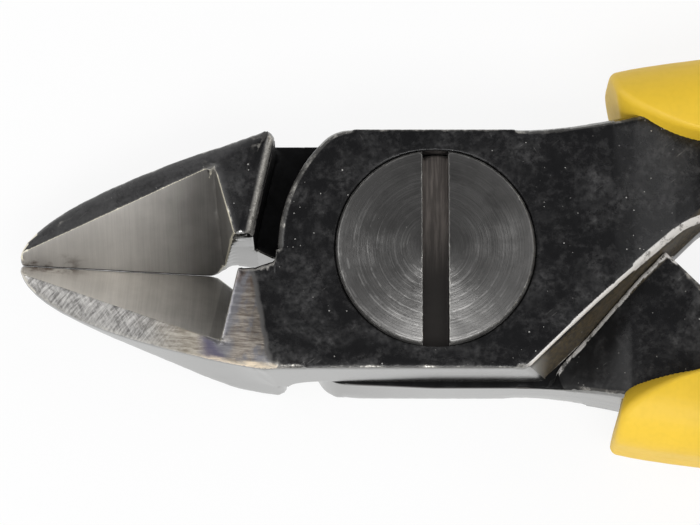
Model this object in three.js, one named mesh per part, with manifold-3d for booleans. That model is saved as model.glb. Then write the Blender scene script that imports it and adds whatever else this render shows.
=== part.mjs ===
// Side cutters for electronics work: two lapped halves that turn on a slotted pivot screw,
// a pair of leaf springs that open them, and two moulded grips.
// Millimetres, +Z up. The origin is on the pivot axis, at the back face of the joint.
// The jaws point to -X, the handles to +X. The tool is shown closed.
import * as THREE from 'three';
import { mergeVertices } from 'three/addons/utils/BufferGeometryUtils.js';
import Module from 'manifold-3d';

const wasm = await Module();
wasm.setup();

// Lap joint
const headWidth = 16.04; // across the flats of the joint
const jointThickness = 10; // both halves together
const lapClearance = 0.1; // between the two lapped faces
const plateRadius = 10.35; // round shoulder of each joint plate, about the pivot
const plateCornerRadius = 2.4; // blend from the shoulder into the flat
const recessClearance = 1.52; // from the shoulder to the step in the other half's jaw
const stepAngle = 12.5; // lean of that step, seen from above
const stepCornerRadius = 0.8; // its rounded outside corner
const stepRollDepth = 0.8; // how far the jaw rolls over at the step
const stepRollWidth = 1.15; // width of that roll

// Jaws
const jawLength = 27.65; // pivot axis to tip
const jawTaperLength = 16.5; // rounded part of the outline, back from the tip
const tipHeight = 4.2; // cutting edge above the back face, at the tip
const tipThickness = 1; // jaw height at the tip
const edgeHeel = 14.6; // pivot axis to the inner end of the cutting edges
const heelHeight = 0.7; // cutting edge above the back face, at the heel
const edgeGap = 0.04; // between the closed cutting edges
const edgeLand = 0.05; // flat left on each cutting edge
const bevelAngle = 54.6; // ground bevel, from the plane of the joint
const facetStart = 11.2; // pivot axis to where the top facet starts to fall
const facetBlend = 0.8; // half length of the soft bend there
const crownRise = 1.6; // rise of the flush face towards the outside
const rollDepth = 0.7; // drop of the top facet at its outside edge
const rollWidth = 1.3; // width of that drop
const frontBevelEnd = 12.63; // bevel's end wall on the pivot line, front half
const frontBevelSkew = 12.9; // its angle across the jaw
const frontBevelLean = 3; // its lean towards the tip at the foot
const backBevelEnd = 12.85; // the same on the back half
const backBevelSkew = 15.4;
const backBevelLean = 7;
const frontNotchWidth = 1.17; // relief behind the front half's cutting edge, from the middle plane
const backNotchWidth = 0.95; // the same on the back half
const notchFlatStart = 13.4; // pivot axis to the start of its parallel part
const notchRun = 1.45; // shoulder to the end of it
const frontNotchMouth = 0.75; // width where it meets the shoulder
const backNotchMouth = 0.3;
const notchMouthRadius = 0.45; // inside corner there

// Shanks and tangs
const neckStart = 5.5; // pivot axis to where the outside edge turns out
const neckRadius = 26; // radius of that turn
const handleAngle = 24; // direction of the shank when closed
const shankWidth = 8;
const shankStraight = 9.4; // straight inner face past the crotch, which carries the spring
const diagonalStart = 5.9; // pivot axis to where the inner edge leaves the flat
const diagonalAngle = 44;
const diagonalDraft = 0.9; // foot of the inner wall beyond its top edge
const crotchRadius = 4;
const tangThickness = 5.5;
const tangEndWidth = 5;
const tangEndShare = 0.9; // of the handle curve that the tang runs along
const topJoggleStart = 9; // front face starts to drop to the tang
const topJoggleLength = 11;
const lapJoggleStart = 7.2; // lap face starts to drop to the tang
const lapJoggleLength = 7.6;
const lapJoggleClear = 0.2; // dropped part to the other half's inner wall

// Handle curve
const handleEnd = 97.35; // pivot axis to the end of the handles
const handleEndSpread = 14; // handle end to the middle plane
const handleEndAngle = -9;
const handleLeadOut = 18;
const handleLeadIn = 26;

// Grips
const gripThickness = 10;
const gripWall = 1.8; // beside the shank
const gripEndWidth = 10;
const gripCornerRadius = 3.2;
const gripFit = 0.15; // around the tang
const gripFront = 12.5; // pivot axis to the front face
const guardRise = 1.8; // thumb guard above the wall
const guardLength = 9; // over which it fades
const lipSetback = 1.2; // front face to the lip on the shank
const lipRun = 3; // straight run of the lip over the shank
const windowLength = 2; // bare inner face past the straight shank

// Pivot screw
const screwHeadDiameter = 13.1;
const screwHeadSeat = 2.5; // depth of the seat below the front face
const screwHeadProud = 0.3;
const screwHeadChamfer = 0.15;
const screwSlotWidth = 1.7;
const screwSlotDepth = 1.6;
const journalDiameter = 8;
const threadDiameter = 6.9;
const runningFit = 0.1; // radial, front half on the journal
const threadFit = 0.05; // radial, screw in the back half
const seatGap = 0.05; // under the head and beside flat pieces

// Leaf springs and their rivets
const springThickness = 0.7;
const springWidth = 4.6;
const springRootStart = 1.2; // past the crotch
const springRootLength = 5.7;
const springContact = 46; // pivot axis to where the two springs meet
const springContactGap = 0.1;
const springTipLength = 4.2; // past the contact
const springTipRise = 1.3;
const rivetAlong = 3.9; // past the crotch
const rivetHeadDiameter = 4;
const rivetHeadHeight = 0.9;
const rivetShankDiameter = 2.4;
const rivetDepth = 4; // in the shank
const rivetFit = 0.1;

const halfHead = headWidth / 2;
const midPlane = jointThickness / 2;
const stepReach = (plateRadius + recessClearance) / Math.cos(THREE.MathUtils.degToRad(stepAngle));
const stepAtFlat = stepReach - halfHead * Math.tan(THREE.MathUtils.degToRad(stepAngle));
const past = 1; // how far cutters reach past what they cut
const wide = 2 * handleEnd; // larger than the tool in any direction

const rad = (degrees) => THREE.MathUtils.degToRad(degrees);
const smooth = (lo, hi, v) => THREE.MathUtils.smoothstep(v, lo, hi);
const vec = (x, y) => new THREE.Vector2(x, y);
const heading = (degrees) => vec(Math.cos(rad(degrees)), Math.sin(rad(degrees)));
const step = (from, direction, distance) => from.clone().addScaledVector(direction, distance);

// Solids and meshes

function toSolid(geometry) {
  const bare = geometry.clone();
  bare.deleteAttribute('normal');
  bare.deleteAttribute('uv');
  const merged = mergeVertices(bare, 1e-4);
  const vertProperties = new Float32Array(merged.attributes.position.array);
  const triVerts = new Uint32Array(merged.index.array);
  return new wasm.Manifold(new wasm.Mesh({ numProp: 3, vertProperties, triVerts }));
}

function toGeometry(solid) {
  const mesh = solid.getMesh();
  const geometry = new THREE.BufferGeometry();
  geometry.setAttribute('position', new THREE.BufferAttribute(mesh.vertProperties, 3));
  geometry.setIndex(new THREE.BufferAttribute(mesh.triVerts, 1));
  geometry.computeVertexNormals();
  return geometry;
}

// Skin over a row of rings with equal point counts, closed by flat ends.
function loft(rings, flatten) {
  const count = rings[0].length;
  const positions = rings.flat().flatMap((p) => [p.x, p.y, p.z]);
  const index = [];
  for (let r = 0; r + 1 < rings.length; r++) {
    for (let k = 0; k < count; k++) {
      const a = r * count + k;
      const b = r * count + ((k + 1) % count);
      index.push(a, b, b + count, a, b + count, a + count);
    }
  }
  const cap = (ring, base, turned) => {
    for (const [a, b, c] of THREE.ShapeUtils.triangulateShape(ring.map(flatten), [])) {
      index.push(base + a, base + (turned ? c : b), base + (turned ? b : c));
    }
  };
  const flat = rings[0].map(flatten);
  const clockwise = THREE.ShapeUtils.area(flat) < 0;
  cap(rings[0], 0, true);
  cap(rings[rings.length - 1], (rings.length - 1) * count, false);
  const geometry = new THREE.BufferGeometry();
  geometry.setAttribute('position', new THREE.Float32BufferAttribute(positions, 3));
  geometry.setIndex(clockwise ? flipSides(index, rings.length, count) : index);
  return faceOutwards(geometry);
}

function flipSides(index, ringCount, count) {
  const sides = (ringCount - 1) * count * 6;
  const flipped = [...index];
  for (let i = 0; i < sides; i += 3) {
    flipped[i + 1] = index[i + 2];
    flipped[i + 2] = index[i + 1];
  }
  return flipped;
}

function faceOutwards(geometry) {
  const p = geometry.attributes.position;
  const index = Array.from(geometry.index.array);
  const [a, b, c] = [new THREE.Vector3(), new THREE.Vector3(), new THREE.Vector3()];
  let volume = 0;
  for (let i = 0; i < index.length; i += 3) {
    a.fromBufferAttribute(p, index[i]);
    b.fromBufferAttribute(p, index[i + 1]);
    c.fromBufferAttribute(p, index[i + 2]);
    volume += a.dot(b.cross(c));
  }
  if (volume < 0) {
    for (let i = 0; i < index.length; i += 3) {
      [index[i + 1], index[i + 2]] = [index[i + 2], index[i + 1]];
    }
    geometry.setIndex(index);
  }
  return geometry;
}

const inPlan = (p) => vec(p.x, p.y);
const acrossJaw = (p) => vec(p.y, p.z);
const atHeight = (points, z) => points.map((p) => new THREE.Vector3(p.x, p.y, z));

function prism(points, zLow, zHigh) {
  const geometry = new THREE.ExtrudeGeometry(new THREE.Shape(points), {
    depth: zHigh - zLow,
    bevelEnabled: false,
    steps: 1,
  });
  return geometry.translate(0, 0, zLow);
}

function upright(radius, zLow, zHigh, segments = 72) {
  const geometry = new THREE.CylinderGeometry(radius, radius, zHigh - zLow, segments);
  return geometry.rotateX(Math.PI / 2).translate(0, 0, (zLow + zHigh) / 2);
}

// Points of an arc about a centre, both ends included.
function arc(centre, radius, from, to, segments) {
  return Array.from({ length: segments + 1 }, (_, i) =>
    step(centre, heading(from + ((to - from) * i) / segments), radius),
  );
}

// Corner rounded by an arc that touches both its sides.
function corner(before, at, after, radius, segments) {
  const u = before.clone().sub(at).normalize();
  const v = after.clone().sub(at).normalize();
  const half = Math.acos(THREE.MathUtils.clamp(u.dot(v), -1, 1)) / 2;
  const reach = radius / Math.tan(half);
  const curve = new THREE.QuadraticBezierCurve(step(at, u, reach), at, step(at, v, reach));
  return curve.getPoints(segments);
}

function crossing(p, u, q, v) {
  const t = q.clone().sub(p).cross(v) / u.cross(v);
  return step(p, u, t);
}

// Shank, tang and handle curve, laid out for the front half, whose handle is on the +Y side.

const along = heading(handleAngle);
const inward = heading(handleAngle - 90);
const neckCentre = vec(neckStart, halfHead + neckRadius);
const neckEnd = step(neckCentre, heading(handleAngle - 90), neckRadius);
const shankFoot = step(neckEnd, inward, shankWidth); // inner face, across from the end of the neck
const diagonal = heading(diagonalAngle);
const diagonalFoot = (draft) => step(vec(diagonalStart, -halfHead), heading(diagonalAngle - 90), draft);
const crotchAt = (draft) => crossing(diagonalFoot(draft), diagonal, shankFoot, along);
const crotchBlend = crotchRadius * Math.tan(rad(diagonalAngle - handleAngle) / 2);
const straightStart = step(crotchAt(diagonalDraft), along, crotchBlend); // inner face past the crotch
const straightEnd = step(step(straightStart, along, shankStraight), inward, -shankWidth);
const curveStart = step(straightEnd, inward, shankWidth / 2);
const curveEnd = vec(handleEnd, handleEndSpread);
const handleCurve = new THREE.CubicBezierCurve(
  curveStart,
  step(curveStart, along, handleLeadOut),
  step(curveEnd, heading(handleEndAngle), -handleLeadIn),
  curveEnd,
);

const curveSide = (t) => {
  const tangent = handleCurve.getTangent(t);
  return vec(-tangent.y, tangent.x);
};
const tangHalf = (t) => THREE.MathUtils.lerp(shankWidth, tangEndWidth, t) / 2;
const tangShares = Array.from({ length: 19 }, (_, i) => (tangEndShare * (i + 1)) / 19);

// Outside and inside edges of the shank and tang, moved out by a clearance.
function handleEdges(fit) {
  const neck = arc(neckCentre, neckRadius - fit, -90, handleAngle - 90, 14);
  const startOut = step(straightEnd, inward, -fit);
  const startIn = step(step(straightEnd, inward, shankWidth), inward, fit);
  const out = [...neck, startOut];
  const inside = [step(shankFoot, inward, fit), startIn];
  for (const t of tangShares) {
    const reach = t === tangShares.at(-1) ? fit : 0;
    const p = step(handleCurve.getPoint(t), handleCurve.getTangent(t), reach);
    out.push(step(p, curveSide(t), tangHalf(t) + fit));
    inside.push(step(p, curveSide(t), -tangHalf(t) - fit));
  }
  return { out, inside };
}

// Outline of a joint plate with its shank and tang, seen from above.
function plateOutline(draft) {
  const { out, inside } = handleEdges(0);
  const low = crossing(diagonalFoot(draft), diagonal, vec(0, -halfHead), vec(1, 0));
  const crotch = crotchAt(draft);
  const jawCorner = vec(-stepAtFlat + stepCornerRadius, -halfHead);
  const blendX = Math.sqrt((plateRadius - plateCornerRadius) ** 2 - (halfHead - plateCornerRadius) ** 2);
  const blendCentre = vec(-blendX, halfHead - plateCornerRadius);
  const blendAngle = THREE.MathUtils.radToDeg(blendCentre.angle());
  const mouthAngle = 180 + THREE.MathUtils.radToDeg(Math.asin(backNotchMouth / plateRadius));
  return [
    jawCorner,
    ...corner(jawCorner, low, crotch, 1, 4),
    ...corner(low, crotch, inside[1], crotchRadius, 6),
    ...inside.slice(1),
    ...out.reverse(),
    ...arc(blendCentre, plateCornerRadius, 90, blendAngle, 6),
    ...arc(vec(0, 0), plateRadius, blendAngle, mouthAngle, 16).slice(1),
  ];
}

// Height of the front and lap faces along the tool, down to the tang.
function sideProfile(fit) {
  const tangTop = midPlane + tangThickness / 2;
  const tangLow = midPlane - tangThickness / 2;
  const lapFace = midPlane + lapClearance / 2;
  const bends = Array.from({ length: 9 }, (_, i) => i / 8);
  const top = bends.map((s) => {
    const z = THREE.MathUtils.lerp(jointThickness, tangTop, smooth(0, 1, s));
    return vec(topJoggleStart + topJoggleLength * s, z + fit);
  });
  const low = bends.map((s) => {
    const z = THREE.MathUtils.lerp(lapFace, tangLow, smooth(0, 1, s));
    return vec(lapJoggleStart + lapJoggleLength * s, z - fit);
  });
  const outline = [
    vec(-jawLength, lapFace - fit),
    ...low,
    vec(wide, tangLow - fit),
    vec(wide, tangTop + fit),
    ...top.reverse(),
    vec(-jawLength, jointThickness + fit),
  ];
  const geometry = new THREE.ExtrudeGeometry(new THREE.Shape(outline), {
    depth: wide,
    bevelEnabled: false,
    steps: 1,
  });
  return geometry.rotateX(Math.PI / 2).translate(0, wide / 2, 0);
}

// Lays a front piece out for the back half: half a turn about the tool's long middle axis.
function turnedOver(geometry) {
  return geometry.clone().rotateX(Math.PI).translate(0, 0, jointThickness);
}

// A plate's walls from a foot upwards, with the inner wall moved out by a clearance.
function plateWalls(foot, fit) {
  const base = plateOutline(diagonalDraft + fit);
  const top = plateOutline(fit);
  return loft(
    [
      atHeight(base, foot),
      atHeight(base, midPlane + lapClearance / 2),
      atHeight(top, jointThickness),
      atHeight(top, jointThickness + past),
    ],
    inPlan,
  );
}

// A plate whose lap face drops to the tang behind the other half's plate, which it clears.
function plateAndTang() {
  const otherPlate = turnedOver(plateWalls(midPlane - lapClearance / 2, lapJoggleClear));
  const plate = toSolid(plateWalls(-past, 0)).intersect(toSolid(sideProfile(0)));
  return toGeometry(plate.subtract(toSolid(otherPlate)));
}

// Jaw on the +Y side, as rings across it from the tip to the joint.

const edgeSlope = (tipHeight - heelHeight) / (jawLength - edgeHeel);
const topSlope = (jointThickness - tipHeight - tipThickness) / (jawLength - facetStart);

function facetHeight(reach) {
  const fall = reach - facetStart;
  const bend = (fall + facetBlend) ** 2 / (4 * facetBlend);
  const drop = fall < -facetBlend ? 0 : fall > facetBlend ? fall : bend;
  return jointThickness - topSlope * drop;
}

function jawRing(reach) {
  const fromTip = jawLength - reach;
  const outside = halfHead * Math.sqrt(Math.min(1, fromTip / jawTaperLength));
  const inside = edgeGap / 2;
  const top = facetHeight(reach);
  const low = Math.max(0, heelHeight + edgeSlope * (reach - edgeHeel));
  const crown = crownRise * smooth(0, 0.3, fromTip / jawTaperLength) * (1 - smooth(0.5, 1, fromTip / jawTaperLength));
  const narrow = Math.min(1, outside / (halfHead / 2));
  const fade = smooth(facetStart - facetBlend, facetStart + 2 * facetBlend, reach);
  const roll = rollDepth * narrow * fade;
  const width = rollWidth * narrow;
  const under = [0.35, 0.6, 0.8, 0.93, 1].map((s) => [s * outside, low + crown * s ** 2.2]);
  const section = [
    [inside, low],
    ...under,
    [outside, top - roll],
    [outside - 0.3 * width, top - 0.5 * roll],
    [outside - 0.65 * width, top - 0.13 * roll],
    [outside - width, top],
    [inside, top],
  ];
  return section.map(([y, z]) => new THREE.Vector3(-reach, y, z));
}

function jawBlank() {
  const shares = [0.004, 0.016, 0.036, 0.066, 0.11, 0.17, 0.25, 0.36, 0.48, 0.61, 0.75, 0.88];
  const reaches = shares.map((s) => jawLength - s * jawTaperLength);
  const innerEnd = stepAtFlat - 2 * stepCornerRadius;
  const bends = [facetStart + facetBlend, facetStart, facetStart - facetBlend];
  const rest = bends.filter((r) => r > innerEnd && r < reaches.at(-1));
  return loft([...reaches, ...rest, innerEnd].map(jawRing), acrossJaw);
}

// What the grinding wheel takes off above a cutting edge.
function bevelCut(end, skew, endLean) {
  const rise = Math.tan(rad(bevelAngle));
  const lean = Math.tan(rad(endLean));
  const sweep = Math.tan(rad(skew));
  const plane = (reach, y) => heelHeight + edgeSlope * (reach - edgeHeel) + edgeLand + rise * y;
  const footOfWall = (y) => {
    const reach = end + sweep * y + lean * jointThickness;
    return plane(reach, y) / (1 + edgeSlope * lean);
  };
  const wallReach = (y, z) => end + sweep * y - lean * (z - jointThickness);
  const sides = [-past, headWidth];
  const above = plane(jawLength, headWidth) + past;
  const ahead = jawLength + past;
  const near = sides.map((y) => {
    const z = footOfWall(y);
    return new THREE.Vector3(-wallReach(y, z), y, z);
  });
  const nearTop = sides.map((y) => new THREE.Vector3(-wallReach(y, above), y, above));
  const far = sides.map((y) => new THREE.Vector3(-ahead, y, plane(ahead, y)));
  const farTop = sides.map((y) => new THREE.Vector3(-ahead, y, above));
  return loft([[...far, farTop[1], farTop[0]], [...near, nearTop[1], nearTop[0]]], acrossJaw);
}

function notchCut(width, mouthWidth) {
  const foot = vec(-plateRadius - lapClearance, -past);
  const mouth = vec(-plateRadius - lapClearance, mouthWidth);
  const flatEnd = vec(-plateRadius - notchRun, width);
  const outline = [
    foot,
    ...corner(foot, mouth, flatEnd, notchMouthRadius, 4),
    flatEnd,
    vec(-notchFlatStart, width),
    vec(-edgeHeel, 0),
    vec(-edgeHeel, -past),
  ];
  return prism(outline, -past, jointThickness + past);
}

// Room beside the jaw, on the +Y side, for the other half's joint plate.
function recessCut(zLow, zHigh) {
  const low = vec(-stepReach - past * Math.tan(rad(stepAngle)), -past);
  const at = vec(-stepAtFlat, halfHead);
  const outline = [
    low,
    ...corner(low, at, vec(-jawLength, halfHead), stepCornerRadius, 5),
    vec(-stepAtFlat - stepCornerRadius, halfHead + past),
    vec(neckStart, halfHead + past),
    vec(neckStart, -past),
  ];
  return prism(outline.reverse(), zLow, zHigh);
}

// What rolls the back jaw over towards its step.
function stepRollCut() {
  const shares = [1, 0.8, 0.6, 0.4, 0.2, 0];
  const above = jointThickness + past;
  const rings = [-past, halfHead / 4, halfHead / 2, halfHead + past].map((y) => {
    const wall = stepReach - y * Math.tan(rad(stepAngle));
    const curve = shares.map((s) => {
      const reach = wall + s * stepRollWidth;
      const drop = stepRollDepth * (1 - s) ** 2.2 - 0.02;
      return new THREE.Vector3(-reach, y, facetHeight(reach) - drop);
    });
    const low = curve.at(-1).z;
    return [
      ...curve,
      new THREE.Vector3(-wall + past / 4, y, low),
      new THREE.Vector3(-wall + past / 4, y, above),
      new THREE.Vector3(-wall - stepRollWidth, y, above),
    ];
  });
  return loft(rings, (p) => vec(p.z, p.x));
}

function jaw(end, skew, lean) {
  const blank = toSolid(jawBlank());
  return toGeometry(blank.subtract(toSolid(bevelCut(end, skew, lean))));
}

// Geometry mirrored to the other side of the tool's middle plane.
function mirrored(geometry) {
  const copy = mergeVertices(geometry.clone().scale(1, -1, 1));
  const index = Array.from(copy.index.array);
  for (let i = 0; i < index.length; i += 3) {
    [index[i + 1], index[i + 2]] = [index[i + 2], index[i + 1]];
  }
  copy.setIndex(index);
  return copy;
}

// Leaf springs and rivets, laid out for the front half.

const rivetSeat = step(straightStart, along, rivetAlong);

// A rivet along +Y, its shank towards the handle, from the inner face of the shank.
function rivetGeometry() {
  const face = springThickness + 2 * seatGap;
  const head = new THREE.QuadraticBezierCurve(
    vec(rivetHeadDiameter / 2, -face - 0.25 * rivetHeadHeight),
    vec(0.36 * rivetHeadDiameter, -face - rivetHeadHeight),
    vec(0, -face - rivetHeadHeight),
  );
  const profile = [
    ...head.getPoints(5).reverse(),
    vec(rivetHeadDiameter / 2, -face),
    vec(rivetShankDiameter / 2, -face),
    vec(rivetShankDiameter / 2, rivetDepth - 0.3),
    vec(rivetShankDiameter / 2 - 0.3, rivetDepth),
    vec(0, rivetDepth),
  ];
  return new THREE.LatheGeometry(profile, 24);
}

function rivetHole(depth) {
  const radius = rivetShankDiameter / 2 + rivetFit;
  const length = depth + past + springThickness;
  const geometry = new THREE.CylinderGeometry(radius, radius, length, 24);
  geometry.translate(0, depth - length / 2, 0);
  geometry.rotateZ(rad(handleAngle));
  return geometry.translate(rivetSeat.x, rivetSeat.y, midPlane);
}

function springGeometry() {
  const seat = seatGap + springThickness / 2;
  const rootStart = step(step(straightStart, along, springRootStart), inward, seat);
  const rootEnd = step(rootStart, along, springRootLength);
  const contact = vec(springContact, springContactGap / 2 + springThickness / 2);
  const run = contact.x - rootEnd.x;
  const sweep = new THREE.CubicBezierCurve(
    rootEnd,
    step(rootEnd, along, run / 6),
    vec(contact.x - 0.45 * run, contact.y),
    contact,
  );
  const tip = new THREE.QuadraticBezierCurve(
    contact,
    vec(contact.x + 0.55 * springTipLength, contact.y),
    vec(contact.x + springTipLength, contact.y + springTipRise),
  );
  const middle = [rootStart, ...sweep.getPoints(18), ...tip.getPoints(5).slice(1)];
  const side = middle.map((p, i) => {
    const ahead = middle[Math.min(i + 1, middle.length - 1)];
    const behind = middle[Math.max(i - 1, 0)];
    const t = i === 1 ? along.clone() : ahead.clone().sub(behind).normalize();
    return vec(-t.y, t.x);
  });
  const half = springThickness / 2;
  const outline = [
    ...middle.map((p, i) => step(p, side[i], half)),
    ...middle.map((p, i) => step(p, side[i], -half)).reverse(),
  ];
  const strip = prism(outline, midPlane - springWidth / 2, midPlane + springWidth / 2);
  return toGeometry(toSolid(strip).subtract(toSolid(rivetHole(past))));
}

// Grips, laid out for the front half.

const gripHalf = (t) => THREE.MathUtils.lerp(shankWidth / 2 + gripWall, gripEndWidth / 2, t);

// Rounded section between an outside and an inside point of the plan, shrunk for the end.
function gripRing(out, inside, shrink) {
  const middle = out.clone().add(inside).multiplyScalar(0.5);
  const across = out.clone().sub(inside).normalize();
  const halfWide = (out.distanceTo(inside) / 2) * shrink;
  const halfTall = (gripThickness / 2) * shrink;
  const radius = Math.min(gripCornerRadius, 0.95 * halfWide, 0.95 * halfTall);
  const corners = [
    [1, 1, 0],
    [-1, 1, 90],
    [-1, -1, 180],
    [1, -1, 270],
  ];
  const ring = corners.flatMap(([sx, sz, from]) =>
    arc(vec(sx * (halfWide - radius), sz * (halfTall - radius)), radius, from, from + 90, 4),
  );
  return ring.map((p) => {
    const q = step(middle, across, p.x);
    return new THREE.Vector3(q.x, q.y, midPlane + p.y);
  });
}

function gripBody() {
  const rings = [];
  const push = (edge, side, travel) => {
    const guard = guardRise * (1 - smooth(0, guardLength, travel));
    const out = step(edge, side, gripWall + guard);
    const inside = step(edge, side, -shankWidth - gripWall);
    rings.push(gripRing(out, inside, 1));
  };
  const frontAngle = THREE.MathUtils.radToDeg(Math.asin((gripFront - neckStart) / neckRadius));
  const first = frontAngle - 3;
  for (const turn of [first, frontAngle, (frontAngle + handleAngle) / 2, handleAngle]) {
    const edge = step(neckCentre, heading(turn - 90), neckRadius);
    push(edge, heading(turn + 90), rad(turn - frontAngle) * neckRadius);
  }
  const neckTravel = rad(handleAngle - frontAngle) * neckRadius;
  const straightRun = neckEnd.distanceTo(straightEnd);
  for (const share of [0.33, 0.67]) {
    const edge = step(neckEnd, along, share * straightRun);
    push(edge, heading(handleAngle + 90), neckTravel + share * straightRun);
  }
  const shares = Array.from({ length: 20 }, (_, i) => (0.97 * i) / 19);
  const ends = [
    [0.985, 0.955],
    [0.995, 0.82],
    [1, 0.6],
  ];
  for (const [t, shrink] of [...shares.map((s) => [s, 1]), ...ends]) {
    const p = handleCurve.getPoint(t);
    const side = curveSide(t);
    rings.push(gripRing(step(p, side, gripHalf(t)), step(p, side, -gripHalf(t)), shrink));
  }
  return loft(rings, (p) => vec(p.x * along.y - p.y * along.x, p.z));
}

// Everything ahead of the grip's front edge: square outside, then back across the shank.
function gripFrontCut() {
  const lipAngle = THREE.MathUtils.radToDeg(Math.asin((gripFront + lipSetback - neckStart) / neckRadius));
  const lipStart = step(neckCentre, heading(lipAngle - 90), neckRadius);
  const lipEnd = step(lipStart, heading(-45), lipRun);
  const windowEnd = step(step(straightEnd, along, windowLength), inward, shankWidth);
  const windowOut = step(windowEnd, heading(handleAngle - 75), 2 * gripWall + past);
  const outline = [
    vec(-past, wide / 2),
    vec(gripFront, wide / 2),
    vec(gripFront, lipStart.y + lipSetback),
    ...corner(lipStart, lipEnd, windowEnd, 3, 5),
    ...corner(lipEnd, windowEnd, windowOut, 1, 4),
    windowOut,
    vec(windowOut.x, -wide / 2),
    vec(-past, -wide / 2),
  ];
  return prism(outline, -past, jointThickness + past);
}

function gripPocket() {
  const { out, inside } = handleEdges(gripFit);
  const outline = prism([...inside, ...out.reverse()], -past, jointThickness + past);
  return toSolid(outline).intersect(toSolid(sideProfile(gripFit)));
}

function gripGeometry() {
  const sleeve = toSolid(gripBody()).subtract(gripPocket());
  return toGeometry(sleeve.subtract(toSolid(gripFrontCut())));
}

// Pivot screw, turned about the pivot axis.
function screwGeometry() {
  const headRadius = screwHeadDiameter / 2;
  const headTop = jointThickness + screwHeadProud;
  const seat = jointThickness - screwHeadSeat + seatGap;
  const lapFace = midPlane - lapClearance / 2 + seatGap;
  const profile = [
    vec(0, 0),
    vec(threadDiameter / 2, 0),
    vec(threadDiameter / 2, lapFace),
    vec(journalDiameter / 2, lapFace),
    vec(journalDiameter / 2, seat),
    vec(headRadius, seat),
    vec(headRadius, headTop - screwHeadChamfer),
    vec(headRadius - screwHeadChamfer, headTop),
    vec(0, headTop),
  ];
  const turned = new THREE.LatheGeometry(profile, 72).rotateX(Math.PI / 2);
  const slot = new THREE.BoxGeometry(screwSlotWidth, screwHeadDiameter + 2 * past, screwSlotDepth + past);
  slot.translate(0, 0, headTop - screwSlotDepth + (screwSlotDepth + past) / 2);
  return toGeometry(toSolid(turned).subtract(toSolid(slot)));
}

// Halves

function frontHalfGeometry() {
  const frame = toSolid(plateAndTang());
  const frontJaw = toSolid(mirrored(jaw(frontBevelEnd, frontBevelSkew, frontBevelLean)));
  const lapFace = midPlane + lapClearance / 2;
  const recess = toSolid(mirrored(recessCut(-past, lapFace)));
  const bore = toSolid(upright(journalDiameter / 2 + runningFit, -past, jointThickness + past));
  const seat = toSolid(
    upright(screwHeadDiameter / 2 + runningFit, jointThickness - screwHeadSeat, jointThickness + past),
  );
  return toGeometry(
    frame
      .add(frontJaw.subtract(recess))
      .subtract(toSolid(mirrored(notchCut(frontNotchWidth, frontNotchMouth))))
      .subtract(bore)
      .subtract(seat)
      .subtract(toSolid(rivetHole(rivetDepth + rivetFit))),
  );
}

function backHalfGeometry() {
  const frame = toSolid(turnedOver(plateAndTang()));
  const backJaw = toSolid(jaw(backBevelEnd, backBevelSkew, backBevelLean));
  const lapFace = midPlane - lapClearance / 2;
  const recess = toSolid(recessCut(lapFace, jointThickness + past));
  const bore = toSolid(upright(threadDiameter / 2 + threadFit, -past, jointThickness + past));
  return toGeometry(
    frame
      .add(backJaw.subtract(recess).subtract(toSolid(stepRollCut())))
      .subtract(toSolid(notchCut(backNotchWidth, backNotchMouth)))
      .subtract(bore)
      .subtract(toSolid(turnedOver(rivetHole(rivetDepth + rivetFit)))),
  );
}

const burnishedSteel = new THREE.MeshStandardMaterial({ color: 0x2a2a2c, roughness: 0.35, metalness: 0.9 });
const turnedSteel = new THREE.MeshStandardMaterial({ color: 0x6e6c68, roughness: 0.3, metalness: 1 });
const springSteel = new THREE.MeshStandardMaterial({ color: 0x9a9a98, roughness: 0.3, metalness: 1 });
const yellowSleeve = new THREE.MeshStandardMaterial({ color: 0xf2c818, roughness: 0.55, metalness: 0 });

function piece(name, geometry, material) {
  const mesh = new THREE.Mesh(geometry, material);
  mesh.name = name;
  return mesh;
}

// What rides on one handle, laid out for the front half.
function handlePieces(side) {
  const group = new THREE.Group();
  const rivet = piece(`${side}_spring_rivet`, rivetGeometry(), springSteel);
  rivet.position.set(rivetSeat.x, rivetSeat.y, midPlane);
  rivet.rotation.z = rad(handleAngle);
  group.add(
    piece(`${side}_grip`, gripGeometry(), yellowSleeve),
    piece(`${side}_spring`, springGeometry(), springSteel),
    rivet,
  );
  return group;
}

const frontHandle = handlePieces('front');
const backHandle = handlePieces('back');
backHandle.rotation.x = Math.PI;
backHandle.position.z = jointThickness;

const sideCutters = new THREE.Group();
sideCutters.add(
  piece('front_half', frontHalfGeometry(), burnishedSteel),
  piece('back_half', backHalfGeometry(), burnishedSteel),
  piece('pivot_screw', screwGeometry(), turnedSteel),
  frontHandle,
  backHandle,
);

export default sideCutters;
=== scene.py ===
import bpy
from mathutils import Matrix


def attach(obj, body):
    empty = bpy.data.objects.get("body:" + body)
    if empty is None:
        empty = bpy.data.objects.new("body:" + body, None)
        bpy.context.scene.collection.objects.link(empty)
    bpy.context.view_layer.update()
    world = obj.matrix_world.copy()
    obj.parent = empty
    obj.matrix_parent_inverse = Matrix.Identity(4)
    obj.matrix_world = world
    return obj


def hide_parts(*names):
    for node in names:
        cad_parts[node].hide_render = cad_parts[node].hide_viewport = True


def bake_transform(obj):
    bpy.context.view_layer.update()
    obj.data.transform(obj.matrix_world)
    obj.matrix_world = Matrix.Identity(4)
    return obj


bl_info = {
    "name": "Side cutters",
    "version": (1, 0, 0),
    "blender": (4, 5, 0),
    "location": "3D View > Sidebar > Side cutters",
    "description": "Builds the finished side cutters on their frame: steel halves, screw, springs and grips",
    "category": "Object",
}

import math

import bmesh
import bpy
import numpy as np
from mathutils import Matrix, Vector
from mathutils.kdtree import KDTree

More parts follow.
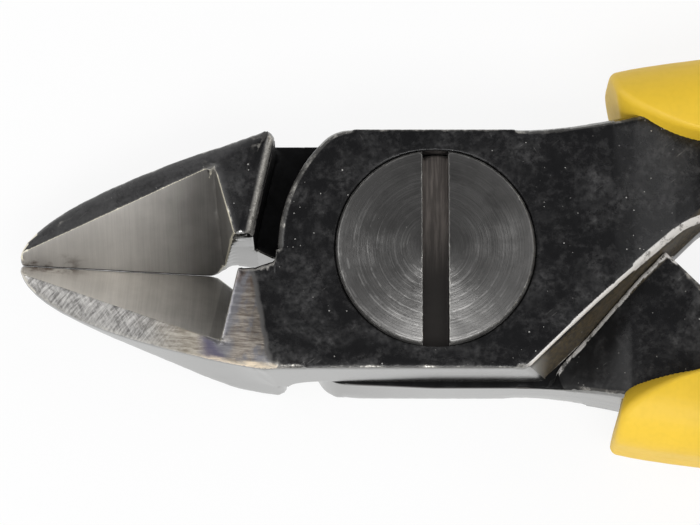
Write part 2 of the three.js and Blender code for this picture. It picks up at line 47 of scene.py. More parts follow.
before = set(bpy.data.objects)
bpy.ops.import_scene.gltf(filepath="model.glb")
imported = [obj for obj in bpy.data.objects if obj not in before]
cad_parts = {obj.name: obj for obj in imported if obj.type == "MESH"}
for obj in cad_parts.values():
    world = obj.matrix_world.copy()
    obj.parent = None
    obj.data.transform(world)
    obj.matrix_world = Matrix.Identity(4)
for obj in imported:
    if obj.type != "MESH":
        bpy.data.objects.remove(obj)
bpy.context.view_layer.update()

MM = 0.001
WELD = 0.002 * MM  # points closer than this are one point
MID_PLANE = 5.0  # height of the lap between the halves, in millimetres

# The handle, spring and grip of the back half are those of the front one, turned over about the lap.
TURN_OVER = (
    Matrix.Translation((0, 0, MID_PLANE * MM))
    @ Matrix.Rotation(math.pi, 4, "X")
    @ Matrix.Translation((0, 0, -MID_PLANE * MM))
)
SIDES = (("front", Matrix.Identity(4)), ("back", TURN_OVER))


def ring(degrees):
    """The direction at an angle, seen from above."""
    return Vector((math.cos(math.radians(degrees)), math.sin(math.radians(degrees))))


def crossing(p, u, q, v):
    """Where the line from p along u meets the line from q along v."""
    t = (q - p).cross(v) / u.cross(v)
    return p + u * t


def bezier(points, t):
    """A point of the Bezier curve with these control points."""
    while len(points) > 1:
        points = [a.lerp(b, t) for a, b in zip(points, points[1:])]
    return points[0]


def ramp(value, start, end):
    """0 up to the start, 1 from the end on and even in between, also where the end lies below."""
    return min(max((value - start) / (end - start), 0.0), 1.0)


# The head, seen from above, in millimetres.
HALF_HEAD = 8.02
STEP_ANGLE = math.radians(12.5)
STEP_SLOPE = math.tan(STEP_ANGLE)
STEP_REACH = 11.87 / math.cos(STEP_ANGLE)
EDGE_HEEL = -14.3  # rear end of the cutting edges
BEVEL_CORNER = Vector((-14.546, 5.871))  # outer corner of the upper bevel
BEVEL_RIM_OUT = Vector((-0.371, 0.929))
BEVEL_END_OUT = Vector((0.962, 0.273))
BEVEL_ROUND = 0.6
BEVEL_FADE = 1.2  # past the corner, over which its rounding fades
DIAGONAL_ANGLE = 44
DIAGONAL_DRAFT = 0.9
DIAGONAL_OUT = ring(DIAGONAL_ANGLE - 90)
DIAGONAL_FOOT = Vector((5.9, -HALF_HEAD)) + DIAGONAL_OUT * DIAGONAL_DRAFT

# The handle line, laid out for the front half, in millimetres.
HANDLE_ANGLE = 24.0
ALONG = ring(HANDLE_ANGLE)
INWARD = ring(HANDLE_ANGLE - 90)
SHANK_WIDTH = 8.0
SHANK_STRAIGHT = 9.4
NECK_START = 5.5
NECK_RADIUS = 26.0
NECK_CENTRE = Vector((NECK_START, HALF_HEAD + NECK_RADIUS))
NECK_END = NECK_CENTRE + INWARD * NECK_RADIUS
CROTCH = crossing(DIAGONAL_FOOT, ring(DIAGONAL_ANGLE), NECK_END + INWARD * SHANK_WIDTH, ALONG)
CROTCH_BLEND = 4.0 * math.tan(math.radians(10))
SHANK_START = CROTCH + ALONG * CROTCH_BLEND
SHANK_END = SHANK_START + ALONG * SHANK_STRAIGHT - INWARD * SHANK_WIDTH
HANDLE_END = Vector((97.35, 14.0))
HANDLE_END_ANGLE = -9
HANDLE_LEAD_OUT = 18.0
HANDLE_LEAD_IN = 26.0


# Settings


class SteelSettings(bpy.types.PropertyGroup):
    edge_width: bpy.props.FloatProperty(
        name="Edge radius",
        description="Radius of the rubbed round along the forged edges",
        default=0.15 * MM,
        min=0.03 * MM,
        unit="LENGTH",
        precision=5,
    )
    black: bpy.props.FloatVectorProperty(
        name="Burnished black",
        description="Colour of the black finish",
        default=(0.006, 0.006, 0.0065),
        size=3,
        min=0.0,
        max=1.0,
        subtype="COLOR",
    )
    smear: bpy.props.FloatVectorProperty(
        name="Smear",
        description="Colour of the wiped, slightly lighter patches of the black finish",
        default=(0.06, 0.059, 0.059),
        size=3,
        min=0.0,
        max=1.0,
        subtype="COLOR",
    )
    # also the colour of the painted highlight on the jaw's rolled ridge
    bare_and_highlight: bpy.props.FloatVectorProperty(
        name="Bare steel",
        description="Colour of the steel where the finish has rubbed off",
        default=(0.5, 0.48, 0.44),
        size=3,
        min=0.0,
        max=1.0,
        subtype="COLOR",
    )
    side: bpy.props.FloatVectorProperty(
        name="Polished side",
        description="Colour of the polished outer walls",
        default=(0.25, 0.25, 0.243),
        size=3,
        min=0.0,
        max=1.0,
        subtype="COLOR",
    )
    ground: bpy.props.FloatVectorProperty(
        name="Ground bevel",
        description="Colour of the ground cutting bevels",
        default=(0.645, 0.62, 0.58),
        size=3,
        min=0.0,
        max=1.0,
        subtype="COLOR",
    )


class ScrewSettings(bpy.types.PropertyGroup):
    ring_pitch: bpy.props.FloatProperty(
        name="Ring pitch",
        description="Distance between the turned rings of the head",
        default=0.21 * MM,
        min=0.02 * MM,
        unit="LENGTH",
        precision=5,
    )
    steel: bpy.props.FloatVectorProperty(
        name="Turned steel",
        description="Colour of the turned head",
        default=(0.105, 0.103, 0.1),
        size=3,
        min=0.0,
        max=1.0,
        subtype="COLOR",
    )


class SpringSettings(bpy.types.PropertyGroup):
    thickness: bpy.props.FloatProperty(
        name="Spring thickness",
        description="Thickness of the leaf springs",
        default=0.7 * MM,
        min=0.1 * MM,
        unit="LENGTH",
        precision=5,
    )
    width: bpy.props.FloatProperty(
        name="Spring width",
        description="Width of the leaf springs",
        default=4.6 * MM,
        min=0.5 * MM,
        unit="LENGTH",
        precision=5,
    )
    rivet_head: bpy.props.FloatProperty(
        name="Rivet head",
        description="Diameter of the rivets' domed heads",
        default=4.0 * MM,
        min=0.5 * MM,
        unit="LENGTH",
        precision=5,
    )
    steel: bpy.props.FloatVectorProperty(
        name="Spring steel",
        description="Colour of the springs and rivets",
        default=(0.42, 0.42, 0.41),
        size=3,
        min=0.0,
        max=1.0,
        subtype="COLOR",
    )


class GripSettings(bpy.types.PropertyGroup):
    wall: bpy.props.FloatProperty(
        name="Front face",
        description="How far the front face runs in behind the lip, down to the shank",
        default=4.0 * MM,
        min=0.3 * MM,
        unit="LENGTH",
        precision=5,
    )
    lip: bpy.props.FloatProperty(
        name="Lip round",
        description="Radius of the round along the front lip",
        default=0.55 * MM,
        min=0.05 * MM,
        unit="LENGTH",
        precision=5,
    )
    colour: bpy.props.FloatVectorProperty(
        name="Grip colour",
        description="Colour of the moulded sleeves",
        default=(0.86, 0.56, 0.03),
        size=3,
        min=0.0,
        max=1.0,
        subtype="COLOR",
    )


class StageSettings(bpy.types.PropertyGroup):
    tilt: bpy.props.FloatProperty(
        name="Camera tilt",
        description="Lean of the camera from straight above towards the lower handle",
        default=math.radians(12),
        subtype="ANGLE",
    )
    lens: bpy.props.FloatProperty(
        name="Lens",
        description="Focal length in millimetres, with a 36 mm sensor",
        default=200.0,
        min=20.0,
    )
    view_width: bpy.props.FloatProperty(
        name="View width",
        description="Width of the picture at the middle of the tool",
        default=46.67 * MM,
        unit="LENGTH",
        precision=5,
    )
    lamp: bpy.props.FloatProperty(
        name="Lamp strength",
        description="Brightness of the soft lamps",
        default=1.0,
        min=0.0,
    )


SETTINGS = {
    "cutters_steel": SteelSettings,
    "cutters_screw": ScrewSettings,
    "cutters_spring": SpringSettings,
    "cutters_grip": GripSettings,
    "cutters_stage": StageSettings,
}


# Nodes


def add(tree, kind, inputs=None, **options):
    """Adds a node with its options, and sets or links its inputs by name or number."""
    node = tree.nodes.new(kind)
    for key, value in options.items():
        setattr(node, key, value)
    for key, value in (inputs or {}).items():
        feed(tree, value, node.inputs[key])
    return node


def feed(tree, value, socket):
    """Links a socket or a number of the tree to an input, or sets the input to a plain value."""
    if isinstance(value, Num):
        value = value.socket
    if isinstance(value, bpy.types.NodeSocket):
        tree.links.new(value, socket)
    else:
        socket.default_value = value


class Num:
    """A number in a node tree, so that sums of sockets are written as sums."""

    def __init__(self, tree, socket):
        self.tree = tree
        self.socket = socket

    def do(self, operation, *others):
        """The result of a math node with this number first."""
        values = dict(enumerate((self, *others)))
        node = add(self.tree, "ShaderNodeMath", values, operation=operation)
        return Num(self.tree, node.outputs[0])

    def __add__(self, other):
        return self.do("ADD", other)

    def __sub__(self, other):
        return self.do("SUBTRACT", other)

    def __rsub__(self, other):
        return self.do("MULTIPLY_ADD", -1.0, other)

    def __mul__(self, other):
        return self.do("MULTIPLY", other)

    def __rmul__(self, other):
        return self.do("MULTIPLY", other)

    def __truediv__(self, other):
        return self.do("DIVIDE", other)

    def __pow__(self, other):
        return self.do("POWER", other)

    def unit(self):
        """The number, kept from 0 to 1."""
        return self.do("MAXIMUM", 0.0).do("MINIMUM", 1.0)

    def between(self, low, high, to_low=0.0, to_high=1.0, ease="SMOOTHSTEP"):
        """The number's place from low to high, eased."""
        inputs = {"Value": self, "From Min": low, "From Max": high, "To Min": to_low, "To Max": to_high}
        node = add(self.tree, "ShaderNodeMapRange", inputs, interpolation_type=ease)
        return Num(self.tree, node.outputs["Result"])


def split(tree, vector):
    """The three numbers of a vector."""
    node = add(tree, "ShaderNodeSeparateXYZ", {"Vector": vector})
    return [Num(tree, s) for s in node.outputs]


def combined(tree, **parts):
    """A vector from its X, Y and Z."""
    return add(tree, "ShaderNodeCombineXYZ", parts).outputs[0]


def stretch(tree, vector, scale, turn=0.0):
    """Turns a vector about Z, then scales it."""
    if turn:
        inputs = {"Vector": vector, "Rotation": (0, 0, turn)}
        vector = add(tree, "ShaderNodeMapping", inputs).outputs["Vector"]
    return add(tree, "ShaderNodeMapping", {"Vector": vector, "Scale": scale}).outputs["Vector"]


def noise(tree, vector, scale, detail=3.0, rough=0.5, distortion=0.0):
    """A cloudy pattern from 0 to 1."""
    inputs = {"Vector": vector, "Scale": scale, "Detail": detail}
    inputs |= {"Roughness": rough, "Distortion": distortion}
    return Num(tree, add(tree, "ShaderNodeTexNoise", inputs).outputs["Fac"])


def blend(tree, share, first, second):
    """Mixes two colours by a share."""
    node = add(tree, "ShaderNodeMix", data_type="RGBA", clamp_factor=True)
    share_input, first_input, second_input = (node.inputs[i] for i in (0, 6, 7))
    feed(tree, share, share_input)
    for colour, socket in ((first, first_input), (second, second_input)):
        linked = isinstance(colour, bpy.types.NodeSocket)
        feed(tree, colour if linked else (*colour, 1.0), socket)
    return node.outputs[2]


def scaled(colour, factor):
    """A lighter or darker colour."""
    return [c * factor for c in colour]


def specks(tree, vector, scale, size, share):
    """Small scattered dots: some cells of a pattern hold one, each of its own size."""
    cells = add(tree, "ShaderNodeTexVoronoi", {"Vector": vector, "Scale": scale, "Randomness": 1.0})
    red, green, _ = split(tree, cells.outputs["Color"])
    radius = (red * size) + 0.25 * size
    dot = Num(tree, cells.outputs["Distance"]).do("LESS_THAN", radius)
    return dot * green.do("LESS_THAN", share)


def new_material(name):
    """A material with its tree, its shader and the place on the piece in millimetres."""
    material = bpy.data.materials.new(name)
    material.use_nodes = True
    tree = material.node_tree
    shader = tree.nodes["Principled BSDF"]
    place = add(tree, "ShaderNodeTexCoord").outputs["Object"]
    millimetres = stretch(tree, place, (1 / MM, 1 / MM, 1 / MM))
    return material, tree, shader, millimetres


def dress(tree, shader, colour, metallic, roughness):
    """Sets the colour, metal and roughness of a finish."""
    for name, value in (("Base Color", colour), ("Metallic", metallic), ("Roughness", roughness)):
        feed(tree, value, shader.inputs[name])


def bumped(tree, shader, height, strength, depth):
    """Bumps a finish by a height, with the depth in millimetres."""
    inputs = {"Height": height, "Strength": strength, "Distance": depth * MM}
    node = add(tree, "ShaderNodeBump", inputs)
    tree.links.new(node.outputs["Normal"], shader.inputs["Normal"])


# Finishes


COAT_IOR = 1.38  # of the black coat


def edge_round(tree):
    """Where the surface lies on a rounded edge: above 0 on outer edges, below 0 in corners."""
    return Num(tree, add(tree, "ShaderNodeAttribute", attribute_name="edge").outputs["Fac"])


def rubbed(tree, mm, least=0.08, low=0.4, high=0.95):
    """How far the finish has rubbed off: along outer edges, in patches."""
    patch = noise(tree, mm, 0.8, 4.0, 0.65).between(0.46, 0.66)
    grit = noise(tree, mm, 5.0, 5.0, 0.7).between(0.3, 0.7)
    return edge_round(tree).between(low, high) * (patch * grit + least)


def black_coat(tree, mm, steel):
    """Colour and roughness of the black finish, with smears, hairlines and dust."""
    smear = noise(tree, mm, 0.2, 5.0, 0.62, 0.8).between(0.42, 0.66)
    mottle = noise(tree, mm, 2.4, 6.0, 0.7)
    grime = noise(tree, mm, 0.7, 6.0, 0.7).between(0.45, 0.62)
    tone = smear * mottle.between(0.3, 0.7) * 0.6 + grime * mottle.between(0.35, 0.7) * 0.5
    colour = blend(tree, tone, steel.black, steel.smear)
    hair = noise(tree, stretch(tree, mm, (9.0, 0.5, 1.0), 0.9), 1.0, 2.0).between(0.7, 0.76)
    cross = noise(tree, stretch(tree, mm, (8.0, 0.6, 1.0), -0.5), 1.0, 2.0).between(0.72, 0.77)
    hair = hair.do("MAXIMUM", cross)
    dust = specks(tree, mm, 0.9, 0.05, 0.6).do("MAXIMUM", specks(tree, mm, 2.3, 0.1, 0.4))
    dust = dust * noise(tree, mm, 0.35, 2.0, 0.5).between(0.36, 0.56)
    colour = blend(tree, (dust * 0.85).do("MAXIMUM", hair * smear * 0.3), colour, (0.42, 0.41, 0.39))
    return colour, smear * 0.14 + mottle * 0.16 + dust * 0.4 + 0.16


def burnished_black(steel):
    """The black, burnished finish of the halves, with bare steel along the edges, a painted highlight on the
    rolled ridge of the upper jaw's step, bright edge lines that are worn burrs with a painted highlight, and
    painted shade at the foot of the ramp.
    """
    material, tree, shader, mm = new_material("burnished_black")
    x, y, z = split(tree, mm)
    colour, rough = black_coat(tree, mm, steel)
    grain = noise(tree, mm, 4.0, 5.0, 0.7)
    away = -1.0 * (x + y * -STEP_SLOPE + STEP_REACH)
    # painted highlight: a band of bare steel along the rolled ridge at the upper jaw's step, partly worn
    # edge and partly the ridge's highlight
    ridge_wear_and_highlight = away.between(0.1, 0.3) * away.between(0.66, 0.34) * z.between(8.2, 8.7)
    ridge_wear_and_highlight = ridge_wear_and_highlight * x.between(-9.8, -10.1) * grain.between(0.3, 0.62, 0.35, 1.0)
    seam = (z - MID_PLANE).do("ABSOLUTE").between(0.3, 0.7)
    seat = (x * x + y * y).between(49.0, 53.0)
    wiped = x.between(-11.6, -12.4) * z.between(9.4, 9.0) * grain.between(0.3, 0.7, 0.2, 0.6)
    colour = blend(tree, wiped, colour, steel.smear)
    wall, burr_and_highlight = inner_wall(tree, mm, x, y, z)
    # painted shade: darker and duller low on the ramp behind the pivot and at the foot of the inner wall
    ramp_foot_shade = x.between(6.0, 7.0) * z.between(7.6, 5.2) * z.between(4.8, 5.0)
    colour = blend(tree, ramp_foot_shade * 0.75, colour, scaled(steel.black, 0.4))
    colour = blend(tree, wall * grain.between(0.4, 0.62, 0.25, 1.0), colour, (0.07, 0.054, 0.03))
    turn = wall * x.between(7.6, 6.2) * (1.0 - burr_and_highlight)
    colour = blend(tree, turn, colour, steel.side)
    # bare steel where the finish has rubbed off, together with the painted ridge highlight and the bright
    # edge lines
    bare_and_highlight = (rubbed(tree, mm) * seam * seat).do("MAXIMUM", ridge_wear_and_highlight).do("MAXIMUM", burr_and_highlight)
    colour = blend(tree, bare_and_highlight, colour, steel.bare_and_highlight)
    # painted highlight: the edge lines turned near-white and dull
    colour = blend(tree, burr_and_highlight * 0.6, colour, (0.8, 0.78, 0.76))
    rough = rough + wall * 0.3 + burr_and_highlight * 0.2 + ramp_foot_shade * 0.25 - turn * 0.35
    dress(tree, shader, colour, bare_and_highlight - burr_and_highlight * 0.6 + turn, rough)
    shader.inputs["IOR"].default_value = COAT_IOR
    bumped(tree, shader, noise(tree, mm, 9.0, 4.0, 0.6) * 0.4 + grain, 0.06, 0.05)
    return material


def inner_wall(tree, mm, x, y, z):
    """The sloping inner walls, and the bright lines on the edges beside them: worn burrs with a painted
    highlight.
    """
    out = DIAGONAL_OUT
    across = y * (z - MID_PLANE).do("SIGN")
    away = x * out.x + across * out.y - DIAGONAL_FOOT.dot(out)
    behind = x.between(5.5, 6.5)
    near = away.between(-1.5, -1.2) * away.between(0.9, 0.6) * behind
    edge = edge_round(tree)
    top = z.between(9.0, 9.3)
    foot = (1.0 - top) * x.between(7.9, 8.5)
    ragged = noise(tree, mm, 1.8, 5.0, 0.75).between(0.36, 0.5, 0.1, 1.0)
    # bright lines along the wall's top edge and, ragged, along its foot: worn burrs with a painted highlight
    line = edge.between(0.2, 0.55) * foot * ragged + edge.between(0.3, 0.7) * top
    return away.between(-0.85, -0.7) * away.between(0.1, 0.0) * behind, near * line


def shaded_lap_black(steel):
    """The lap faces and the step beside them: matt and dark, with painted shade that makes them darker and
    duller than the black finish.
    """
    material, tree, shader, mm = new_material("shaded_lap_black")
    dark_patches = noise(tree, mm, 0.9, 5.0, 0.65).between(0.4, 0.7)
    # painted shade: the black finish darkened further in patches, with little shine
    colour = blend(tree, dark_patches, scaled(steel.black, 0.4), steel.black)
    dress(tree, shader, colour, 0.0, dark_patches * -0.25 + 0.65)
    shader.inputs["Specular IOR Level"].default_value = 0.12
    bumped(tree, shader, noise(tree, mm, 6.0, 4.0), 0.08, 0.05)
    return material


def polished_side(steel):
    """The outer walls, polished bright, with a few dark pits and painted shade along the seam between the
    plates.
    """
    material, tree, shader, mm = new_material("polished_side")
    x, _, z = split(tree, mm)
    cloud = noise(tree, mm, 0.5, 4.0, 0.55)
    streak = noise(tree, stretch(tree, mm, (0.12, 1.0, 1.6)), 1.0, 5.0, 0.6).between(0.3, 0.75)
    pits = specks(tree, mm, 0.8, 0.07, 0.3)
    colour = blend(tree, cloud.between(0.25, 0.8), steel.side, scaled(steel.side, 1.12))
    colour = blend(tree, streak * 0.35 * x.between(-2.0, 8.0), colour, scaled(steel.side, 0.45))
    colour = blend(tree, pits * 0.7, colour, (0.12, 0.12, 0.115))
    # painted shade: a dark, dull strip along the seam between the plates
    seam = (z - MID_PLANE).do("ABSOLUTE").between(0.45, 0.25)
    seam = seam * x.between(-6.6, -5.0) * x.between(7.5, 6.5)
    colour = blend(tree, seam * 0.96, colour, (0.02, 0.016, 0.013))
    colour = blend(tree, rubbed(tree, mm) * 0.5 * (1.0 - seam), colour, steel.bare_and_highlight)
    dress(tree, shader, colour, seam * -0.9 + 1.0, cloud * 0.1 + 0.14)
    bumped(tree, shader, noise(tree, mm, 4.0, 3.0), 0.03, 0.04)
    return material


def ground_bevel(steel):
    """The cutting bevels: grinding streaks square to the edge, painted light and shade along their length,
    painted shade along the closing line, stained at the tip.
    """
    material, tree, shader, mm = new_material("ground_bevel")
    x, y, _ = split(tree, mm)
    streak = noise(tree, stretch(tree, mm, (4.0, 0.1, 0.1)), 1.0, 6.0, 0.7)
    fine = noise(tree, stretch(tree, mm, (14.0, 0.25, 0.25)), 1.0, 3.0, 0.6)
    cloud = noise(tree, mm, 0.35, 4.0, 0.55)
    tone = streak.between(0.2, 0.85) * 0.45 + fine.between(0.3, 0.7) * 0.15 + cloud.between(0.3, 0.7) * 0.4
    # painted light: the bevels lighter towards the tip, darker towards the joint
    tone = tone * 0.4 + x.between(-14.0, -24.0, 0.0, 0.6, "LINEAR")
    colour = blend(tree, tone, scaled(steel.ground, 0.42), scaled(steel.ground, 1.3))
    # painted shade: each bevel darkened along its length, the upper one most towards the joint, the lower
    # one also on its end wall
    upper = y.between(-0.05, 0.05)
    shade = x.between(-24.5, -20.5, 0.8, 1.0) * x.between(-18.8, -15.0, 1.0, 0.5) * upper
    end = (x - y * 0.125).between(-14.15, -14.05, 1.0, 0.72)
    shade = shade + x.between(-25.0, -15.5, 0.72, 1.0) * end * (1.0 - upper)
    colour = blend(tree, shade, (0.0, 0.0, 0.0), colour)
    stain = noise(tree, mm, 0.9, 4.0, 0.6).between(0.44, 0.62)
    stain = stain * x.between(-22.5, -25.2) * y.do("ABSOLUTE").between(0.9, 0.2)
    colour = blend(tree, stain * 0.8, colour, (0.1, 0.065, 0.045))
    # painted shade along the closing line, where the two cutting edges meet
    colour = blend(tree, y.do("ABSOLUTE").between(0.075, 0.03) * 0.92, colour, (0.05, 0.04, 0.03))
    # bright edge lines: worn bare steel with a painted sparkle highlight, fuller on the upper jaw
    bare_and_highlight = rubbed(tree, mm, 0.65, 0.1, 0.4) * y.between(-0.1, 0.1, 0.25, 1.0)
    corner_x, corner_y = x - BEVEL_CORNER.x, y - BEVEL_CORNER.y
    bare_and_highlight = bare_and_highlight * y.do("ABSOLUTE").between(0.2, 0.4)
    bare_and_highlight = bare_and_highlight * (corner_x * corner_x + corner_y * corner_y).between(0.05, 0.6, 0.15, 1.0)
    colour = blend(tree, bare_and_highlight, colour, (0.95, 0.9, 0.72))
    dress(tree, shader, colour, 0.7, tone * -0.1 + 0.46)
    bumped(tree, shader, streak * 0.6 + fine * 0.4, 0.1, 0.03)
    return material


def tinted_facet(steel):
    """The lower jaw's outer facet: scratched bright towards the tip, heat-tinted towards the joint."""
    material, tree, shader, mm = new_material("tinted_facet")
    x, y, _ = split(tree, mm)
    rake = noise(tree, stretch(tree, mm, (6.5, 0.8, 1.0), 0.85), 1.0, 6.0, 0.75, 0.4)
    cross = noise(tree, stretch(tree, mm, (4.5, 0.7, 1.0), -0.5), 1.0, 6.0, 0.75, 0.4)
    rake = rake * 0.65 + cross * 0.35
    fine = noise(tree, stretch(tree, mm, (0.6, 5.5, 1.0), 0.12), 1.0, 6.0, 0.75, 0.4)
    wander = noise(tree, mm, 0.55, 4.0, 0.6)
    cloud = noise(tree, stretch(tree, mm, (1.0, 0.6, 1.0), 0.2), 0.8, 5.0, 0.65)
    bright = blend(tree, rake.between(0.38, 0.62), (0.17, 0.165, 0.158), (0.6, 0.585, 0.56))
    straw = blend(tree, fine.between(0.35, 0.65), (0.24, 0.21, 0.17), (0.54, 0.5, 0.43))
    violet = blend(tree, fine.between(0.3, 0.7), (0.17, 0.168, 0.182), (0.28, 0.277, 0.29))
    gold = blend(tree, fine.between(0.35, 0.65), (0.17, 0.142, 0.12), (0.42, 0.38, 0.33))
    towards = x + wander * 3.0 - 1.5
    colour = blend(tree, towards.between(-20.0, -16.0), bright, straw)
    colour = blend(tree, towards.between(-15.6, -14.6), colour, violet)
    blue = (x + y * 0.4 + wander * 2.0).between(-15.4, -16.2)
    blue = blue * y.between(-5.2, -6.0) * x.between(-15.8, -14.8)
    colour = blend(tree, blue * 0.6, colour, (0.075, 0.06, 0.13))
    rim = (x - y * 0.25 + wander * 3.0).between(-10.9, -9.8) * x.between(-14.6, -13.8)
    colour = blend(tree, rim * cloud.between(0.4, 0.55), colour, gold)
    upper = (y + wander * 2.0).between(-2.2, -1.0) * x.between(-14.4, -13.6)
    colour = blend(tree, upper * cloud.between(0.38, 0.6) * 0.8, colour, (0.1, 0.068, 0.054))
    line = x + y * 0.17 + wander * 0.6
    # painted highlight: a light grey line along the facet's base, just before it turns dark
    colour = blend(tree, line.between(-12.1, -11.9), colour, (0.19, 0.185, 0.18))
    dark = line.between(-11.95, -11.6)
    coat, coat_rough = black_coat(tree, mm, steel)
    colour = blend(tree, dark, colour, coat)
    colour = blend(tree, rubbed(tree, mm, 0.3) * 0.8, colour, steel.bare_and_highlight)
    # a pale, warm band along the facet's outer rim, towards the joint
    pale_rim_band = (y + x * 0.208 + wander * 0.4 + 10.05).between(0.36, 0.1) * x.between(-17.5, -14.5)
    colour = blend(tree, pale_rim_band * fine.between(0.35, 0.6, 0.3, 1.0), colour, (0.95, 0.8, 0.6))
    light = 1.0 - dark
    dress(tree, shader, colour, light, (fine * 0.2 + 0.26) * light + coat_rough * dark)
    shader.inputs["IOR"].default_value = COAT_IOR
    bumped(tree, shader, (rake * x.between(-15.0, -18.0) + fine * 0.4) * light, 0.3, 0.06)
    return material


def turned_steel(screw):
    """The screw: rings left by turning, as fine saw teeth on a head that is barely domed."""
    material, tree, shader, mm = new_material("turned_steel")
    x, y, z = split(tree, mm)
    reach = (x * x + y * y).do("SQRT")
    swirl = noise(tree, mm, 0.5, 3.0, 0.6) * 0.5
    around = combined(tree, X=reach, Y=swirl)
    coarse = noise(tree, around, 2.0, 4.0, 0.7)
    lathe = noise(tree, around, 7.0, 4.0, 0.7)
    tooth = (reach / (screw.ring_pitch / MM) + swirl).do("FRACT")
    worn = noise(tree, mm, 0.45, 4.0, 0.6).between(0.3, 0.6)
    rings = (coarse * 1.2 + lathe * 0.6 - tooth * 1.1) * (worn * 0.7 + 0.3)
    face = z.between(9.7, 10.0)
    height = (rings * reach.between(6.3, 4.6, 0.3, 1.0) - reach * reach * 0.75) * face
    tone = lathe.between(0.3, 0.7) * 0.4 + coarse.between(0.35, 0.68) * 0.3 + worn * 0.3
    colour = blend(tree, tone, scaled(screw.steel, 0.65), scaled(screw.steel, 1.5))
    glint = noise(tree, around, 4.6, 2.0, 0.6).between(0.54, 0.66)
    glint = glint * (x * 0.6 + y).between(2.0, -3.0, 0.1, 0.6)
    colour = blend(tree, glint, colour, scaled(screw.steel, 2.6))
    scrape = noise(tree, stretch(tree, mm, (5.0, 0.35, 1.0)), 1.0, 4.0, 0.65).between(0.4, 0.7)
    lit = (scrape * 0.6 + 0.4) * y.between(-2.5, 3.5)
    slot = blend(tree, lit, (0.065, 0.06, 0.056), (0.3, 0.265, 0.24))
    colour = blend(tree, face, slot, colour)
    dust = specks(tree, mm, 1.2, 0.05, 0.6)
    for bright in (dust * 0.7, rubbed(tree, mm, 0.3)):
        colour = blend(tree, bright, colour, (0.5, 0.49, 0.46))
    dress(tree, shader, colour, 0.9, tone * -0.1 + 0.41)
    bumped(tree, shader, height, 0.6, 0.05)
    return material


def spring_steel(spring):
    """Rolled spring steel with fine lines along the strip and a straw tint in patches."""
    material, tree, shader, mm = new_material("spring_steel")
    line = noise(tree, stretch(tree, mm, (0.25, 0.25, 9.0)), 1.0, 4.0, 0.65)
    patch = noise(tree, mm, 0.28, 3.0, 0.5).between(0.42, 0.68)
    colour = blend(tree, line.between(0.3, 0.7), scaled(spring.steel, 0.7), spring.steel)
    colour = blend(tree, patch * 0.45, colour, (0.36, 0.29, 0.19))
    dress(tree, shader, colour, 1.0, line * 0.16 + 0.22)
    bumped(tree, shader, line, 0.08, 0.03)
    return material


def rivet_steel(spring):
    """Hammered rivet heads, a little darker than the springs."""
    material, tree, shader, mm = new_material("rivet_steel")
    dent = noise(tree, mm, 1.6, 3.0, 0.5)
    grit = noise(tree, mm, 8.0, 4.0, 0.6)
    tone = dent.between(0.3, 0.7) * 0.6 + grit * 0.4
    colour = blend(tree, tone, scaled(spring.steel, 0.45), scaled(spring.steel, 0.95))
    dress(tree, shader, colour, 1.0, grit * 0.18 + 0.26)
    bumped(tree, shader, dent + grit * 0.25, 0.3, 0.12)
    return material


def moulded_grip(grip):
    """Soft moulded sleeve: satin, finely pebbled, with a parting line round the middle."""
    material, tree, shader, mm = new_material("moulded_grip")
    _, _, z = split(tree, mm)
    cloud = noise(tree, mm, 0.12, 4.0, 0.55)
    pebble = add(tree, "ShaderNodeTexVoronoi", {"Vector": mm, "Scale": 3.2}, feature="SMOOTH_F1")
    pebble = Num(tree, pebble.outputs["Distance"])
    colour = blend(tree, cloud.between(0.3, 0.75), scaled(grip.colour, 0.86), grip.colour)
    colour = blend(tree, pebble.between(0.35, 0.75) * 0.12, colour, scaled(grip.colour, 0.7))
    dress(tree, shader, colour, 0.0, cloud * 0.14 + pebble * 0.1 + 0.4)
    seam = (z - MID_PLANE).do("ABSOLUTE").between(0.16, 0.04)
    bumped(tree, shader, pebble * -0.12 + seam * 0.9, 0.35, 0.08)
    return material


# Meshes


SHARP_ANGLE = 20  # degrees between faces, from which an edge counts as sharp
SLIVER = 0.01 * MM  # faces thinner than this are taken out
SPOT_STEP = 0.6  # radii between the points along a sharp edge
FINE_EDGE = 0.5  # wanted length of the mesh's edges beside a sharp one, in radii
EDGE_GROWTH = 0.6  # of the wanted length, with the distance from the sharp edge
COARSE_EDGE = 6.0 * MM  # wanted length far from the sharp edges
SPLIT_LENGTH = 1.7  # wanted lengths, from which an edge is split
SPLIT_ROUNDS = 12
EVENING_ROUNDS = 16
EVENING_STEP = 0.55
EVENING_REACH = 2.4  # radii from a sharp edge at which the evening out ends
FULL_ROUND = 0.3  # move, in radii, from which a point counts as fully on an edge


def merged_copy(node):
    """A copy of a node's mesh with its doubles merged and its flat faces whole."""
    shape = bmesh.new()
    shape.from_mesh(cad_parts[node].data)
    bmesh.ops.remove_doubles(shape, verts=shape.verts[:], dist=WELD)
    flat = math.radians(0.5)
    bmesh.ops.dissolve_limit(shape, angle_limit=flat, verts=shape.verts[:], edges=shape.edges[:])
    bmesh.ops.dissolve_degenerate(shape, dist=SLIVER, edges=shape.edges[:])
    bmesh.ops.triangulate(shape, faces=shape.faces[:])
    shape.normal_update()
    return shape


def sharp_points(shape, radius_of, adjust):
    """Points along the sharp edges that are to be rounded, and the radius for each."""
    points, radii = [], []
    for edge in shape.edges:
        if len(edge.link_faces) != 2:
            continue
        angle = math.degrees(edge.calc_face_angle(0.0))
        radius = radius_of(edge, angle)
        if not radius:
            edge.smooth = angle < SHARP_ANGLE
            continue
        first, last = (v.co.copy() for v in edge.verts)
        count = max(1, math.ceil((last - first).length / (SPOT_STEP * radius)))
        spots = [first.lerp(last, i / count) for i in range(count + 1)]
        points += spots
        radii += [adjust(spot, radius) for spot in spots]
    tree = KDTree(len(points))
    for i, point in enumerate(points):
        tree.insert(point, i)
    tree.balance()
    return tree, radii


